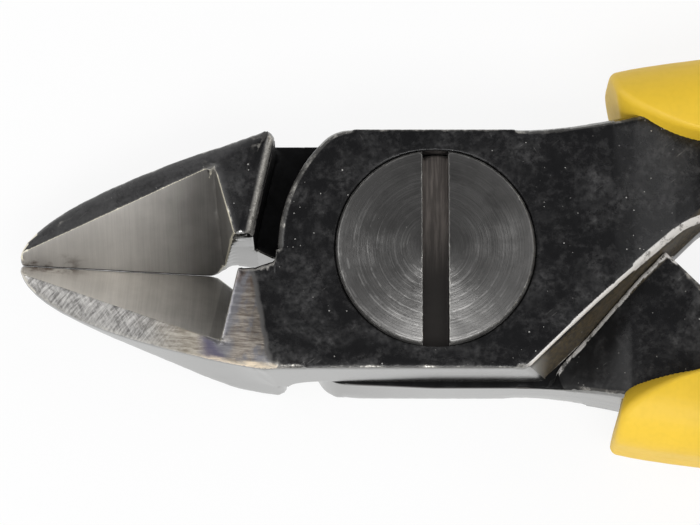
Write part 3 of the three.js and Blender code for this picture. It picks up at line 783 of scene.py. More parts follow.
def middle(edge):
    """The middle of an edge."""
    return (edge.verts[0].co + edge.verts[1].co) / 2


def refine(shape, tree, radii):
    """Splits the faces near sharp edges until they are fine enough to be rounded."""
    fresh = shape.edges[:]
    for _ in range(SPLIT_ROUNDS):
        long = []
        for edge in fresh:
            _, i, distance = tree.find(middle(edge))
            wanted = min(COARSE_EDGE, FINE_EDGE * radii[i] + EDGE_GROWTH * distance)
            if edge.calc_length() > SPLIT_LENGTH * wanted:
                long.append(edge)
        if not long:
            return
        parts = bmesh.ops.subdivide_edges(shape, edges=long, cuts=1, use_single_edge=True)["geom"]
        fresh = {part for part in parts if isinstance(part, bmesh.types.BMEdge)}
        open_faces = [f for f in shape.faces if len(f.verts) > 3]
        fresh.update(bmesh.ops.triangulate(shape, faces=open_faces)["edges"])


def soften(shape, radius_of, reshape=None, adjust=lambda spot, radius: radius):
    """Rounds the sharp edges by evening out the mesh close to them, after reshaping it.

    Returns how far each point moved: above 0 on outer edges, below 0 in corners."""
    tree, radii = sharp_points(shape, radius_of, adjust)
    refine(shape, tree, radii)
    near = [tree.find(v.co)[1:] for v in shape.verts]
    if reshape:
        for vertex in shape.verts:
            reshape(vertex)
    shape.normal_update()
    shape.verts.index_update()
    start = np.array([v.co for v in shape.verts])
    normal = np.array([v.normal for v in shape.verts])
    pairs = np.array([[v.index for v in e.verts] for e in shape.edges])
    radius = np.array([radii[i] for i, _ in near])
    reach = np.array([distance for _, distance in near]) / radius
    weight = EVENING_STEP * np.clip(EVENING_REACH - reach, 0, 1)[:, None]
    count = np.bincount(pairs.ravel(), minlength=len(start))[:, None]
    place = start.copy()
    for _ in range(EVENING_ROUNDS):
        total = np.zeros_like(place)
        for near_end, far_end in ((0, 1), (1, 0)):
            for axis in range(3):
                values = place[pairs[:, far_end], axis]
                total[:, axis] += np.bincount(pairs[:, near_end], values, minlength=len(start))
        place += weight * (total / count - place)
    moved = ((start - place) * normal).sum(1) / radius
    for vertex, point in zip(shape.verts, place):
        vertex.co = point
    return np.clip(moved / FULL_ROUND, -1, 1)


def softened_piece(name, shape, edge, materials):
    """A piece from a softened mesh, with the rubbing of its edges as an attribute."""
    mesh = bpy.data.meshes.new(name)
    shape.to_mesh(mesh)
    shape.free()
    layer = mesh.attributes.new("edge", "FLOAT", "POINT")
    layer.data.foreach_set("value", edge.astype(np.float32))
    mesh.shade_smooth()
    return new_piece(name, mesh, materials)


def new_piece(name, mesh, materials=()):
    """An object for a mesh, with these materials."""
    piece = bpy.data.objects.new(name, mesh)
    bpy.context.scene.collection.objects.link(piece)
    for material in materials:
        mesh.materials.append(material)
    return piece


def plain_mesh(piece):
    """Turns a piece with its modifiers into a plain mesh without empty material slots."""
    graph = bpy.context.evaluated_depsgraph_get()
    mesh = bpy.data.meshes.new_from_object(piece.evaluated_get(graph), depsgraph=graph)
    if not mesh.polygons:
        raise RuntimeError(f"{piece.name} came out with no faces")
    for slot in reversed(range(len(mesh.materials))):
        if mesh.materials[slot] is None:
            mesh.materials.pop(index=slot)
    piece.modifiers.clear()
    piece.data = mesh
    mesh.name = piece.name


def rule_tree(name, sizes):
    """An empty geometry tree with a geometry input and one named input for each size."""
    tree = bpy.data.node_groups.new(name, "GeometryNodeTree")
    tree.interface.new_socket("Geometry", in_out="INPUT", socket_type="NodeSocketGeometry")
    for size, kind in sizes.items():
        tree.interface.new_socket(size, in_out="INPUT", socket_type=kind)
    tree.interface.new_socket("Geometry", in_out="OUTPUT", socket_type="NodeSocketGeometry")
    start = tree.nodes.new("NodeGroupInput")
    end = tree.nodes.new("NodeGroupOutput")
    return tree, start.outputs, end.inputs["Geometry"]


def rounded_section(tree, width, height, radius, count):
    """A rectangle with rounded corners, of count points each."""
    kind = "GeometryNodeCurvePrimitiveQuadrilateral"
    square = add(tree, kind, {"Width": width, "Height": height}).outputs[0]
    inputs = {"Curve": square, "Radius": radius, "Count": count}
    return add(tree, "GeometryNodeFilletCurve", inputs, mode="POLY").outputs[0]


def end_tree(tree, geometry, material, target):
    """Shades the result smooth, makes it plain and gives it its material."""
    smooth = add(tree, "GeometryNodeSetShadeSmooth", {"Geometry": geometry})
    whole = add(tree, "GeometryNodeRealizeInstances", {"Geometry": smooth.outputs[0]})
    painted = add(tree, "GeometryNodeSetMaterial", {"Geometry": whole.outputs[0], "Material": material})
    tree.links.new(painted.outputs[0], target)


def apply_rule(piece, tree, sizes):
    """Runs a geometry tree on a piece with these sizes and keeps the plain mesh."""
    modifier = piece.modifiers.new(tree.name, "NODES")
    modifier.node_group = tree
    for item in tree.interface.items_tree:
        if item.in_out == "INPUT" and item.name in sizes:
            modifier[item.identifier] = sizes[item.name]
    piece.update_tag()
    plain_mesh(piece)


def line_mesh(name, points, widths=None):
    """A chain of points in millimetres as a mesh of edges, with a width at each point."""
    mesh = bpy.data.meshes.new(name)
    edges = [(i, i + 1) for i in range(len(points) - 1)]
    mesh.from_pydata([(p.x * MM, p.y * MM, MID_PLANE * MM) for p in points], edges, [])
    if widths:
        layer = mesh.attributes.new("half_width", "FLOAT", "POINT")
        layer.data.foreach_set("value", [w * MM for w in widths])
    return mesh


# Steel halves


BLACK, SIDE, GROUND, FACET, LAP = range(5)

SHOULDER_RADIUS = 10.4  # of each joint plate, about the pivot
BORE_REACH = 6.9  # edges closer to the pivot belong to the screw's seat and bore
WALL_START = 5.5  # pivot to the inner walls between the shanks
TIP_START = -26.9  # edges further forward lie at the tip
TANG_START = 31.0  # edges further back lie inside the grips
JAW_REAR = -10.2
WALL_REACH = 0.3  # from the front half's inner wall, within which a place lies beside it

# The rounds along the edges of the halves and the screw, in millimetres.
ROLLED_ROUND = 0.25  # between the jaws' top facets
FINE_ROUND = 0.06  # at the tip, the screw's seat and the lap
VALLEY_ROUND = 0.45  # between a bevel and its end wall
UPPER_BEVEL_ROUND = 0.12
LOWER_BEVEL_ROUND = 0.07
DROPPED_FACE_ROUND = 0.1  # of the back half, beside the front half's inner wall
WALL_TOP_ROUND = 0.08
UNDERSIDE_ROUND = 0.3
SCREW_ROUND = 0.07

# How far the surface of the halves is moved, in millimetres.
EDGE_GAP = 0.003  # cutting edge to the closing line
WALL_CLEARANCE = 0.05  # dropped face to the inner wall
LEDGE_FOOT = 0.36  # back half beside the front one, at the underside
LEDGE_FRONT = 0.1  # the same at the lap, in front
LEDGE_NECK = 0.4  # the same at the lap, from the pivot on
SHOULDER_MOVE = 0.32
CORNER_MOVE = 0.75
CORNER_DROP = 2.0
BELLY_MOVE = 0.26
NOTCH_MOVE = 0.28
SEAT_MOVE = 0.08


def face_finish(face, jaw_side):
    """The finish of a face of a half whose jaw lies on the jaw_side of the closing line."""
    at = face.calc_center_median() / MM
    n = face.normal
    in_jaw = at.x < JAW_REAR and at.y * jaw_side > -0.2
    if in_jaw and n.y * jaw_side < -0.6 and n.z > 0.3:
        return GROUND
    if in_jaw and n.z > 0.03 and n.x < -0.6:
        return GROUND
    if in_jaw and jaw_side < 0 and n.z > 0.4:
        return FACET
    if abs(n.z) > 0.9 and abs(at.z - MID_PLANE) < 0.2:
        return LAP
    if abs(n.z) < 0.35:
        reach = math.hypot(at.x, at.y)
        in_step = -13.4 < at.x < -8.5 and -7.1 < at.y < 7.6 and n.x > 0.5
        if reach < 7 or in_step:
            return LAP
        on_shoulder = abs(reach - SHOULDER_RADIUS) < 0.15 and -7 < at.y * jaw_side < 0
        on_diagonal = at.x > WALL_START and n.y * at.y < 0 and abs(at.y) < 9
        on_wall = at.x > WALL_START and n.x > 0.5 and n.y * jaw_side > 0.5
        if not (on_shoulder or on_diagonal or on_wall):
            return SIDE
    return BLACK


def edge_radius(edge, angle, jaw_side, width):
    """The radius that a sharp edge of a half is rounded to, or 0 where it stays as it is."""
    at = middle(edge) / MM
    finishes = sorted(f.material_index for f in edge.link_faces)
    reach = math.hypot(at.x, at.y)
    cutting = at.x < EDGE_HEEL and abs(at.y) < 0.1 and GROUND in finishes
    in_bore = reach < BORE_REACH and 0.1 < at.z < 9.5
    if at.x > TANG_START or cutting or in_bore:
        return 0
    rolled = at.x < -10 and at.z > 6 and all(f.normal.z > 0.2 for f in edge.link_faces)
    if angle > 5 and rolled and GROUND not in finishes:
        return ROLLED_ROUND * MM
    if angle < SHARP_ANGLE:
        return 0
    if at.x < TIP_START or reach < BORE_REACH or finishes == [SIDE, LAP]:
        return FINE_ROUND * MM
    if finishes == [GROUND, GROUND]:
        return VALLEY_ROUND * MM
    if GROUND in finishes:
        return (UPPER_BEVEL_ROUND if jaw_side > 0 else LOWER_BEVEL_ROUND) * MM
    if jaw_side > 0 and 6.8 < at.x < 16 and at.z > 5.3 and wall_gap(at) < WALL_REACH:
        return DROPPED_FACE_ROUND * MM
    if jaw_side < 0 and 5.9 < at.x < 16 and at.z > 9 and abs(wall_gap(at)) < WALL_REACH:
        return WALL_TOP_ROUND * MM
    if SIDE in finishes and at.z < 0.1 and -8 < at.x < 14:
        return UNDERSIDE_ROUND * MM
    return width


def narrow_valley(spot, radius):
    """The round in the upper bevel's valley narrows towards its outer corner."""
    if radius < VALLEY_ROUND * MM:
        return radius
    away = (Vector((spot.x, spot.y)) / MM - BEVEL_CORNER).length
    return radius * min(1.0, 0.2 + away / 2.5)


def round_corner(vertex):
    """Rounds the upper bevel's outer corner, as seen from above."""
    rim, end = BEVEL_RIM_OUT, BEVEL_END_OUT
    centre = BEVEL_CORNER - (rim + end) * (BEVEL_ROUND / (1.0 + rim.dot(end)))
    away = Vector((vertex.co.x, vertex.co.y)) / MM - centre
    square = max(away.dot(rim), away.dot(end))
    past_corner = away.dot((end.y, -end.x)) <= 0 and away.dot((-rim.y, rim.x)) <= 0
    if vertex.co.z < 6 * MM or square < 0 or not past_corner:
        return
    fade = ramp(square, BEVEL_ROUND + BEVEL_FADE, BEVEL_ROUND)
    away *= (square - away.length) * fade / away.length
    vertex.co.x += away.x * MM
    vertex.co.y += away.y * MM


def close_edges(vertex):
    """Brings the cutting edges together, so that no light shows between them."""
    at = vertex.co / MM
    if at.x < EDGE_HEEL and abs(at.y) < 0.03:
        vertex.co.y = math.copysign(EDGE_GAP * MM, at.y)


def wall_gap(at):
    """How far a place on the back half lies from the front half's inner wall."""
    away = Vector((at.x, at.y)).dot(DIAGONAL_OUT) - DIAGONAL_FOOT.dot(DIAGONAL_OUT)
    return away + DIAGONAL_DRAFT / MID_PLANE * (at.z - MID_PLANE)


def meet_wall(vertex):
    """Brings the back half's dropped face up to the front half's inner wall."""
    at = vertex.co / MM
    gap = wall_gap(at)
    if at.x > 6.8 and at.z > MID_PLANE and 0 < gap < WALL_REACH:
        move = (gap - WALL_CLEARANCE) * MM
        vertex.co.x -= DIAGONAL_OUT.x * move
        vertex.co.y -= DIAGONAL_OUT.y * move


def widen_neck(vertex):
    """Lets the back half stand out a little beside the front one, more towards the neck."""
    at = vertex.co / MM
    share = ramp(at.x, -8.6, -6.2) * ramp(at.x, 16.0, 12.5) * ramp(at.y, -7.0, -7.5)
    at_lap = LEDGE_FRONT + (LEDGE_NECK - LEDGE_FRONT) * ramp(at.x, -6.5, 0.0)
    ledge = LEDGE_FOOT + (at_lap - LEDGE_FOOT) * ramp(at.z, 0.0, MID_PLANE)
    vertex.co.y -= ledge * share * MM
    if at.z < MID_PLANE + 0.1:
        share = ramp(at.y, -6.0, -7.0) * ramp(at.x, -3.0, -6.0)
        vertex.co.x -= SHOULDER_MOVE * share * MM


def fill_corner(vertex):
    """Rounds out the corner of the lower jaw's step and its lap face, at the outer wall."""
    at = vertex.co / MM
    step = -STEP_REACH - at.y * STEP_SLOPE
    wide = -math.sqrt(max(10.75**2 - at.y**2, 0.0)) - step
    along = at.x - step
    share = ramp(at.y, -6.3, -6.9) * ramp(along, -3.0, -0.9) * ramp(at.z, 9.0, 5.05)
    if along >= wide or not share:
        return
    turn = 1.0 - max(along, 0.0) / wide
    drop = CORNER_DROP * (1.0 - math.sqrt(1.0 - turn * turn)) * ramp(at.z, 0.0, MID_PLANE)
    vertex.co.x += CORNER_MOVE * turn * share * MM
    vertex.co.z -= drop * share * MM


def fill_belly(vertex):
    """Fills out the foot of the lower jaw's outer wall."""
    at = vertex.co / MM
    if at.y < -3.0:
        share = ramp(at.x, -20.0, -15.0) * ramp(at.x, -10.5, -13.5) * ramp(at.z, 8.0, 0.0)
        vertex.co.y -= BELLY_MOVE * share * MM


def lower_notch(vertex):
    """Brings the foot of the upper jaw's inner wall closer to the lower jaw, behind the cutting edges."""
    at = vertex.co / MM
    if abs(at.y) < 1.5:
        share = ramp(at.x, -13.8, -13.2) * ramp(at.x, -10.4, -10.8) * ramp(at.z, 6.0, 0.0)
        vertex.co.y -= NOTCH_MOVE * share * MM


def close_seat(vertex):
    """Draws the seat in to the screw's head, with only a hairline round it."""
    across = Vector((vertex.co.x, vertex.co.y))
    reach = across.length / MM
    if 6.58 < reach < 7.6 and vertex.co.z > 7 * MM:
        drawn = SEAT_MOVE * ramp(reach, 7.6, 6.7)
        vertex.co.x, vertex.co.y = across * (1.0 - drawn / reach)


# The moves of each half's surface, by the side of the closing line that its jaw lies on.
RESHAPES = {
    -1: (close_edges, fill_belly, fill_corner, close_seat),
    1: (close_edges, round_corner, lower_notch, meet_wall, widen_neck),
}


class CUTTERS_OT_steel_halves(bpy.types.Operator):
    """Builds the two forged halves with their jaws, joint plates and shanks"""

    bl_idname = "cutters.steel_halves"
    bl_label = "Steel halves"

    def execute(self, context):
        steel = context.scene.cutters_steel
        finishes = [
            burnished_black(steel),
            polished_side(steel),
            ground_bevel(steel),
            tinted_facet(steel),
            shaded_lap_black(steel),
        ]
        for side, jaw_side in (("front", -1), ("back", 1)):
            shape = merged_copy(f"{side}_half")
            for face in shape.faces:
                face.material_index = face_finish(face, jaw_side)

            def radius_of(edge, angle):
                return edge_radius(edge, angle, jaw_side, steel.edge_width)

            def reshape(vertex):
                for move in RESHAPES[jaw_side]:
                    move(vertex)

            edge = soften(shape, radius_of, reshape, narrow_valley)
            half = softened_piece(f"{side}_steel_half", shape, edge, finishes)
            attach(half, f"{side}_frame")
            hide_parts(f"{side}_half")
        return {"FINISHED"}


class CUTTERS_OT_pivot_screw(bpy.types.Operator):
    """Builds the slotted pivot screw with its turned head"""

    bl_idname = "cutters.pivot_screw"
    bl_label = "Pivot screw"

    def execute(self, context):
        settings = context.scene.cutters_screw

        def radius_of(edge, angle):
            height = middle(edge).z / MM
            outside = height > 8.2 or height < 0.1
            return SCREW_ROUND * MM if angle > SHARP_ANGLE and outside else 0

        shape = merged_copy("pivot_screw")
        edge = soften(shape, radius_of)
        screw = softened_piece("slotted_screw", shape, edge, [turned_steel(settings)])
        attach(screw, "back_frame")
        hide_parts("pivot_screw")
        return {"FINISHED"}


# Springs and rivets


SPRING_CONTACT = Vector((46.0, 0.4))  # where the two springs meet
SPRING_ROOT_START = 1.2  # from the start of the shank's straight
SPRING_ROOT_LENGTH = 5.7
SPRING_SEAT = 0.4  # shank to the middle of the strip
SPRING_TIP = Vector((4.2, 1.3))  # contact to the end of the rolled tip
SPRING_TIP_LEAD = Vector((2.31, 0.0))
RIVET_ALONG = 3.9  # from the start of the shank's straight
RIVET_SEAT = 0.8  # shank to the underside of the head
RIVET_RISE = 0.9
RIVET_SHANK = 2.4
RIVET_DEPTH = 4.8
RIVET_DOME = 0.75  # share of the head's rise that is domed
RIVET_SIDES = 32


def spring_line():
    """The middle line of the front half's leaf spring, from its root to its rolled tip."""
    start = SHANK_START + ALONG * SPRING_ROOT_START + INWARD * SPRING_SEAT
    root = start + ALONG * SPRING_ROOT_LENGTH
    contact = SPRING_CONTACT
    run = contact.x - root.x
    sweep = [root, root + ALONG * (run / 6), Vector((contact.x - 0.45 * run, contact.y)), contact]
    tip = [contact, contact + SPRING_TIP_LEAD, contact + SPRING_TIP]
    points = [start.lerp(root, i / 6) for i in range(6)]
    points += [bezier(sweep, i / 40) for i in range(40)]
    return points + [bezier(tip, i / 10) for i in range(11)]


def spring_rule(material):
    """A flat strip with rounded edges, swept along a line."""
    sizes = {"Thickness": "NodeSocketFloat", "Width": "NodeSocketFloat"}
    tree, given, target = rule_tree("Leaf spring", sizes)
    path = add(tree, "GeometryNodeMeshToCurve", {"Mesh": given["Geometry"]})
    upright = add(tree, "GeometryNodeSetCurveNormal", {"Curve": path.outputs[0]}, mode="Z_UP")
    radius = Num(tree, given["Thickness"]) * 0.3
    section = rounded_section(tree, given["Thickness"], given["Width"], radius, 3)
    strip = add(
        tree,
        "GeometryNodeCurveToMesh",
        {"Curve": upright.outputs[0], "Profile Curve": section, "Fill Caps": True},
    )
    end_tree(tree, strip.outputs[0], material, target)
    return tree


class CUTTERS_OT_leaf_springs(bpy.types.Operator):
    """Builds the two leaf springs that bend against each other"""

    bl_idname = "cutters.leaf_springs"
    bl_label = "Leaf springs"

    def execute(self, context):
        settings = context.scene.cutters_spring
        tree = spring_rule(spring_steel(settings))
        line = spring_line()
        sizes = {"Thickness": settings.thickness, "Width": settings.width}
        for side, turn in SIDES:
            strip = new_piece(f"{side}_leaf_spring", line_mesh(f"{side}_leaf_spring", line))
            apply_rule(strip, tree, sizes)
            strip.data.transform(turn)
            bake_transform(strip)
            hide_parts(f"{side}_spring")
        return {"FINISHED"}


def rivet_rule(material):
    """Rivets with domed heads, one on each point, set along the point's direction."""
    sizes = dict.fromkeys(("Head", "Rise", "Shank", "Depth"), "NodeSocketFloat")
    sizes["Direction"] = "NodeSocketVector"
    tree, given, target = rule_tree("Domed rivet", sizes)
    radius = Num(tree, given["Head"]) * 0.5
    rise = Num(tree, given["Rise"])
    disc = add(
        tree,
        "GeometryNodeMeshCylinder",
        {
            "Vertices": RIVET_SIDES,
            "Side Segments": 3,
            "Fill Segments": 6,
            "Radius": radius,
            "Depth": rise,
        },
    )
    place = add(tree, "GeometryNodeInputPosition").outputs[0]
    x, y, z = split(tree, place)
    share = (x * x + y * y).do("SQRT") / radius
    lift = (1.0 - share * share).do("MAXIMUM", 0.0).do("SQRT") * RIVET_DOME - RIVET_DOME
    upper = z.do("GREATER_THAN", rise * 0.4)
    domed = add(
        tree,
        "GeometryNodeSetPosition",
        {"Geometry": disc.outputs["Mesh"], "Offset": combined(tree, Z=lift * rise * upper)},
    )
    shank = add(
        tree,
        "GeometryNodeMeshCylinder",
        {"Vertices": RIVET_SIDES, "Radius": Num(tree, given["Shank"]) * 0.5, "Depth": given["Depth"]},
    )
    down = (Num(tree, given["Depth"]) + rise) * -0.5
    set_shank = add(
        tree,
        "GeometryNodeTransform",
        {"Geometry": shank.outputs["Mesh"], "Translation": combined(tree, Z=down)},
    )
    rivet = add(tree, "GeometryNodeJoinGeometry")
    for part in (domed, set_shank):
        tree.links.new(part.outputs[0], rivet.inputs[0])
    aim = add(tree, "FunctionNodeAlignRotationToVector", {"Vector": given["Direction"]}, axis="Z")
    placed = add(
        tree,
        "GeometryNodeInstanceOnPoints",
        {"Points": given["Geometry"], "Instance": rivet.outputs[0], "Rotation": aim.outputs[0]},
    )
    end_tree(tree, placed.outputs[0], material, target)
    return tree


class CUTTERS_OT_spring_rivets(bpy.types.Operator):
    """Builds the rivets that hold the leaf springs to the shanks"""

    bl_idname = "cutters.spring_rivets"
    bl_label = "Spring rivets"

    def execute(self, context):
        settings = context.scene.cutters_spring
        tree = rivet_rule(rivet_steel(settings))
        seat = SHANK_START + ALONG * RIVET_ALONG
        head = seat + INWARD * (RIVET_SEAT + RIVET_RISE / 2)
        sizes = {
            "Head": settings.rivet_head,
            "Rise": RIVET_RISE * MM,
            "Shank": RIVET_SHANK * MM,
            "Depth": RIVET_DEPTH * MM,
            "Direction": (INWARD.x, INWARD.y, 0.0),
        }
        for side, turn in SIDES:
            rivet = new_piece(f"{side}_rivet", line_mesh(f"{side}_rivet", [head]))
            apply_rule(rivet, tree, sizes)
            rivet.data.transform(turn)
            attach(rivet, f"{side}_frame")
            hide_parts(f"{side}_spring_rivet")
        return {"FINISHED"}


# Grips


GRIP_FRONT = 12.5  # pivot to the front face
GRIP_WALL = 1.79  # beside the shank
GRIP_THICKNESS = 10.0
GRIP_CORNER = 3.2
SECTION_ASPECT = 1.08  # width over thickness of the section that is fitted to the line
GRIP_END_HALF = 5.0  # half width at the rear end
GRIP_SETBACK = 18.0  # how far the lip is cut back on the inner side
SETBACK_SPAN = 0.8  # share of the half width, on both sides of the middle, over which it is cut back
SETBACK_POWER = 1.6  # of that slope: 1 is straight
GRIP_TAIL = 5.0  # length of the domed rear end
TAIL_POWER = 2.4  # of the dome: 2 is an ellipse, more is squarer
GUARD_RISE = 1.8  # thumb guard above the wall
GUARD_LENGTH = 9.0  # over which it fades


def grip_line():
    """The middle line of the front half's sleeve and its half width at each point."""
    front = math.degrees(math.asin((GRIP_FRONT - NECK_START) / NECK_RADIUS))
    edges = []
    for i in range(9):
        turn = front + (HANDLE_ANGLE - front) * i / 8
        edge = NECK_CENTRE + ring(turn - 90) * NECK_RADIUS
        edges.append((edge, turn, math.radians(turn - front) * NECK_RADIUS))
    reach = edges[-1][2]
    straight = (SHANK_END - NECK_END).length
    for i in range(1, 6):
        run = i / 6 * straight
        edges.append((NECK_END + ALONG * run, HANDLE_ANGLE, reach + run))
    points, widths = [], []
    for edge, turn, travel in edges:
        away = ring(turn + 90)
        fade = ramp(travel, 0.0, GUARD_LENGTH)
        flare = GUARD_RISE * (1 - fade * fade * (3 - 2 * fade))
        out = edge + away * (GRIP_WALL + flare)
        inside = edge - away * (SHANK_WIDTH + GRIP_WALL)
        points.append((out + inside) / 2)
        widths.append((out - inside).length / 2)
    start = SHANK_END + INWARD * (SHANK_WIDTH / 2)
    lead_in = HANDLE_END - ring(HANDLE_END_ANGLE) * HANDLE_LEAD_IN
    curve = [start, start + ALONG * HANDLE_LEAD_OUT, lead_in, HANDLE_END]
    half = SHANK_WIDTH / 2 + GRIP_WALL
    for i in range(61):
        points.append(bezier(curve, i / 60))
        widths.append(half + (GRIP_END_HALF - half) * i / 60)
    return points, widths


def grip_rule(material):
    """A sleeve round a line: a rounded section, a front lip cut back across the shank and a domed end."""
    names = ("Thickness", "Corner", "Front face", "Lip", "Setback", "Tail", "Length")
    tree, given, target = rule_tree("Grip sleeve", dict.fromkeys(names, "NodeSocketFloat"))
    rows, around, lip_rows = 150, 193, 8
    size = {name: Num(tree, given[name]) for name in names}
    path = add(tree, "GeometryNodeMeshToCurve", {"Mesh": given["Geometry"]})
    thick = size["Thickness"]
    section = rounded_section(tree, thick * SECTION_ASPECT, thick, size["Corner"], 10)
    sheet = add(
        tree,
        "GeometryNodeMeshGrid",
        {"Size X": 1.0, "Size Y": 1.0, "Vertices X": rows, "Vertices Y": around},
    )
    index = Num(tree, add(tree, "GeometryNodeInputIndex").outputs[0])
    row = (index / around + 0.0001).do("FLOOR")
    turn = (index - row * around) / (around - 1)
    inputs = {"Curves": section, "Factor": turn}
    profile = add(tree, "GeometryNodeSampleCurve", inputs, mode="FACTOR")
    px, py, _ = split(tree, profile.outputs["Position"])
    tall = thick * 0.5
    across = px / (thick * (SECTION_ASPECT / 2))
    cut_back = ((SETBACK_SPAN - across) / (2 * SETBACK_SPAN)).unit() ** SETBACK_POWER
    front = cut_back * size["Setback"]
    lip_turn = ((row - 1.0) / (lip_rows - 2)).unit() * (math.pi / 2)
    inset = (1.0 - lip_turn.do("SINE")) * size["Lip"]
    inner = row.do("LESS_THAN", 0.5) * (size["Front face"] - size["Lip"])
    run = ((row - (lip_rows - 1)) / (rows - lip_rows)).do("MAXIMUM", 0.0)
    start = front + (1.0 - lip_turn.do("COSINE")) * size["Lip"]
    reach = start + (size["Length"] - start) * (run * (math.pi / 2)).do("SINE")
    end = ((reach - size["Length"] + size["Tail"]) / size["Tail"]).unit()
    shrink = (1.0 - end**TAIL_POWER).do("MAXIMUM", 0.0) ** (1 / TAIL_POWER)
    inputs = {"Name": "half_width"}
    width_there = add(tree, "GeometryNodeInputNamedAttribute", inputs, data_type="FLOAT").outputs[0]
    inputs = {"Curves": path.outputs[0], "Value": width_there, "Length": reach}
    spot = add(tree, "GeometryNodeSampleCurve", inputs, mode="LENGTH")
    sample = {s.name: s for s in spot.outputs if s.enabled}
    wide = Num(tree, sample["Value"])
    less = inset + inner
    aside = across * (wide - less) * shrink
    up = (py / tall) * (tall - less) * shrink
    tx, ty, _ = split(tree, sample["Tangent"])
    offset = combined(tree, X=ty * -1.0 * aside, Y=tx * aside, Z=up)
    place = add(tree, "ShaderNodeVectorMath", {0: sample["Position"], 1: offset}, operation="ADD")
    inputs = {"Geometry": sheet.outputs["Mesh"], "Position": place.outputs[0]}
    sleeve = add(tree, "GeometryNodeSetPosition", inputs)
    inputs = {"Geometry": sleeve.outputs[0], "Distance": WELD}
    closed = add(tree, "GeometryNodeMergeByDistance", inputs)
    end_tree(tree, closed.outputs[0], material, target)
    return tree


class CUTTERS_OT_grips(bpy.types.Operator):
    """Builds the two moulded sleeves on the handles"""

    bl_idname = "cutters.grips"
    bl_label = "Grips"

    def execute(self, context):
        settings = context.scene.cutters_grip
        tree = grip_rule(moulded_grip(settings))
        points, widths = grip_line()
        length = sum((b - a).length for a, b in zip(points, points[1:]))
        sizes = {
            "Thickness": GRIP_THICKNESS * MM,
            "Corner": GRIP_CORNER * MM,
            "Front face": settings.wall,
            "Lip": settings.lip,
            "Setback": GRIP_SETBACK * MM,
            "Tail": GRIP_TAIL * MM,
            "Length": length * MM,
        }
        for side, turn in SIDES:
            sleeve = new_piece(f"{side}_sleeve", line_mesh(f"{side}_sleeve", points, widths))
            apply_rule(sleeve, tree, sizes)
            shape = bmesh.new()
            shape.from_mesh(sleeve.data)
            mouth = [edge for edge in shape.edges if edge.is_boundary]
            bmesh.ops.holes_fill(shape, edges=mouth)
            bmesh.ops.recalc_face_normals(shape, faces=shape.faces[:])
            shape.to_mesh(sleeve.data)
            shape.free()
            sleeve.data.transform(turn)
            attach(sleeve, f"{side}_frame")
            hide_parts(f"{side}_grip")
        return {"FINISHED"}


# Stage


FLOOR_RADIUS = 2.5  # in metres
FLOOR_DROP = 0.05 * MM  # below the tool
FLOOR_SIDES = 64
LOOK_AT = Vector((-5.6, 0.07, MID_PLANE)) * MM
SENSOR_WIDTH = 36.0  # in millimetres


def pale_floor():
    """A white floor that stays white to the camera and in reflections, and keeps the shadow."""
    material = bpy.data.materials.new("pale_floor")
    material.use_nodes = True
    tree = material.node_tree
    tree.nodes.clear()
    rays = add(tree, "ShaderNodeLightPath")
    kinds = ("Is Camera Ray", "Is Glossy Ray", "Is Transmission Ray")
    camera, glossy, through = (Num(tree, rays.outputs[kind]) for kind in kinds)
    seen = camera.do("MAXIMUM", glossy).do("MAXIMUM", through)
    matt = add(tree, "ShaderNodeBsdfDiffuse", {"Color": (0.9, 0.9, 0.9, 1.0)})
    glow = add(tree, "ShaderNodeEmission", {"Color": (1.0, 1.0, 1.0, 1.0), "Strength": 1.0})
    mix = add(tree, "ShaderNodeMixShader", {0: seen * 0.88, 1: matt.outputs[0], 2: glow.outputs[0]})
    out = add(tree, "ShaderNodeOutputMaterial", {"Surface": mix.outputs[0]})
    out.is_active_output = True
    return material


def studio_world():
    """Pale walls all round under a ceiling that darkens away from the camera."""
    world = bpy.data.worlds.new("studio")
    world.use_nodes = True
    tree = world.node_tree
    tree.nodes.clear()
    direction = add(tree, "ShaderNodeTexCoord").outputs["Generated"]
    _, depth, height = split(tree, direction)
    pale, dim = (0.85, 0.85, 0.86), (0.2, 0.2, 0.205)
    ceiling = blend(tree, depth.between(-0.4, 0.1), pale, dim)
    room = blend(tree, height.between(0.25, 0.8), pale, ceiling)
    rays = add(tree, "ShaderNodeLightPath")
    colour = blend(tree, rays.outputs["Is Camera Ray"], room, (1.0, 1.0, 1.0))
    sky = add(tree, "ShaderNodeBackground", {"Color": colour, "Strength": 1.0})
    add(tree, "ShaderNodeOutputWorld", {"Surface": sky.outputs[0]})
    return world


def soft_lamp(name, place, size, energy):
    """A wide lamp at a place, turned to the tool."""
    data = bpy.data.lights.new(name, "AREA")
    data.shape = "RECTANGLE"
    data.size, data.size_y = size
    data.energy = energy
    lamp = bpy.data.objects.new(name, data)
    bpy.context.scene.collection.objects.link(lamp)
    lamp.location = place
    lamp.rotation_euler = (LOOK_AT - Vector(place)).to_track_quat("-Z", "Y").to_euler()


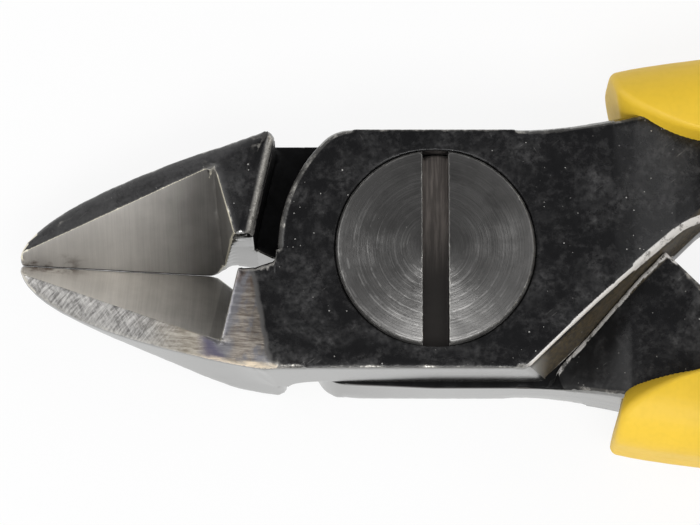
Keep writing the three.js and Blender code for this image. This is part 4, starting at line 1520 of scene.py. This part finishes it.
class CUTTERS_OT_stage(bpy.types.Operator):
    """Sets up the pale floor, the soft light and the camera"""

    bl_idname = "cutters.stage"
    bl_label = "Stage"

    def execute(self, context):
        scene = context.scene
        stage = scene.cutters_stage
        mesh = bpy.data.meshes.new("floor")
        rim = [ring(360 * i / FLOOR_SIDES) * FLOOR_RADIUS for i in range(FLOOR_SIDES)]
        mesh.from_pydata([(p.x, p.y, -FLOOR_DROP) for p in rim], [], [tuple(range(FLOOR_SIDES))])
        new_piece("floor", mesh, [pale_floor()])
        scene.world = studio_world()
        soft_lamp("front_lamp", (0.02, -0.26, 0.44), (0.4, 0.18), 1.1 * stage.lamp)
        soft_lamp("left_lamp", (-0.45, 0.1, 0.3), (0.25, 0.3), 0.5 * stage.lamp)
        soft_lamp("right_lamp", (0.45, 0.15, 0.35), (0.25, 0.3), 0.45 * stage.lamp)
        camera_data = bpy.data.cameras.new("camera")
        camera_data.lens = stage.lens
        camera_data.sensor_width = SENSOR_WIDTH
        camera_data.clip_start = 0.005
        camera = bpy.data.objects.new("camera", camera_data)
        scene.collection.objects.link(camera)
        back = Vector((0, -math.sin(stage.tilt), math.cos(stage.tilt)))
        camera.location = LOOK_AT + back * (stage.view_width * stage.lens / SENSOR_WIDTH)
        camera.rotation_euler = (stage.tilt, 0, 0)
        scene.camera = camera
        scene.view_settings.view_transform = "Standard"
        return {"FINISHED"}


OPERATORS = (
    CUTTERS_OT_steel_halves,
    CUTTERS_OT_pivot_screw,
    CUTTERS_OT_leaf_springs,
    CUTTERS_OT_spring_rivets,
    CUTTERS_OT_grips,
    CUTTERS_OT_stage,
)


class CUTTERS_PT_panel(bpy.types.Panel):
    """Lists the settings and the steps that build the side cutters"""

    bl_idname = "CUTTERS_PT_panel"
    bl_label = "Side cutters"
    bl_space_type = "VIEW_3D"
    bl_region_type = "UI"
    bl_category = "Side cutters"

    def draw(self, context):
        layout = self.layout
        for name, group in SETTINGS.items():
            box = layout.box()
            for key in group.__annotations__:
                box.prop(getattr(context.scene, name), key)
        for operator in OPERATORS:
            layout.operator(operator.bl_idname)


CLASSES = (*SETTINGS.values(), *OPERATORS, CUTTERS_PT_panel)


def register():
    for cls in CLASSES:
        bpy.utils.register_class(cls)
    for name, group in SETTINGS.items():
        setattr(bpy.types.Scene, name, bpy.props.PointerProperty(type=group))


def unregister():
    for name in SETTINGS:
        delattr(bpy.types.Scene, name)
    for cls in reversed(CLASSES):
        bpy.utils.unregister_class(cls)


def main():
    register()
    for operator in OPERATORS:
        group, name = operator.bl_idname.split(".")
        getattr(getattr(bpy.ops, group), name)()


if __name__ == "__main__":
    main()
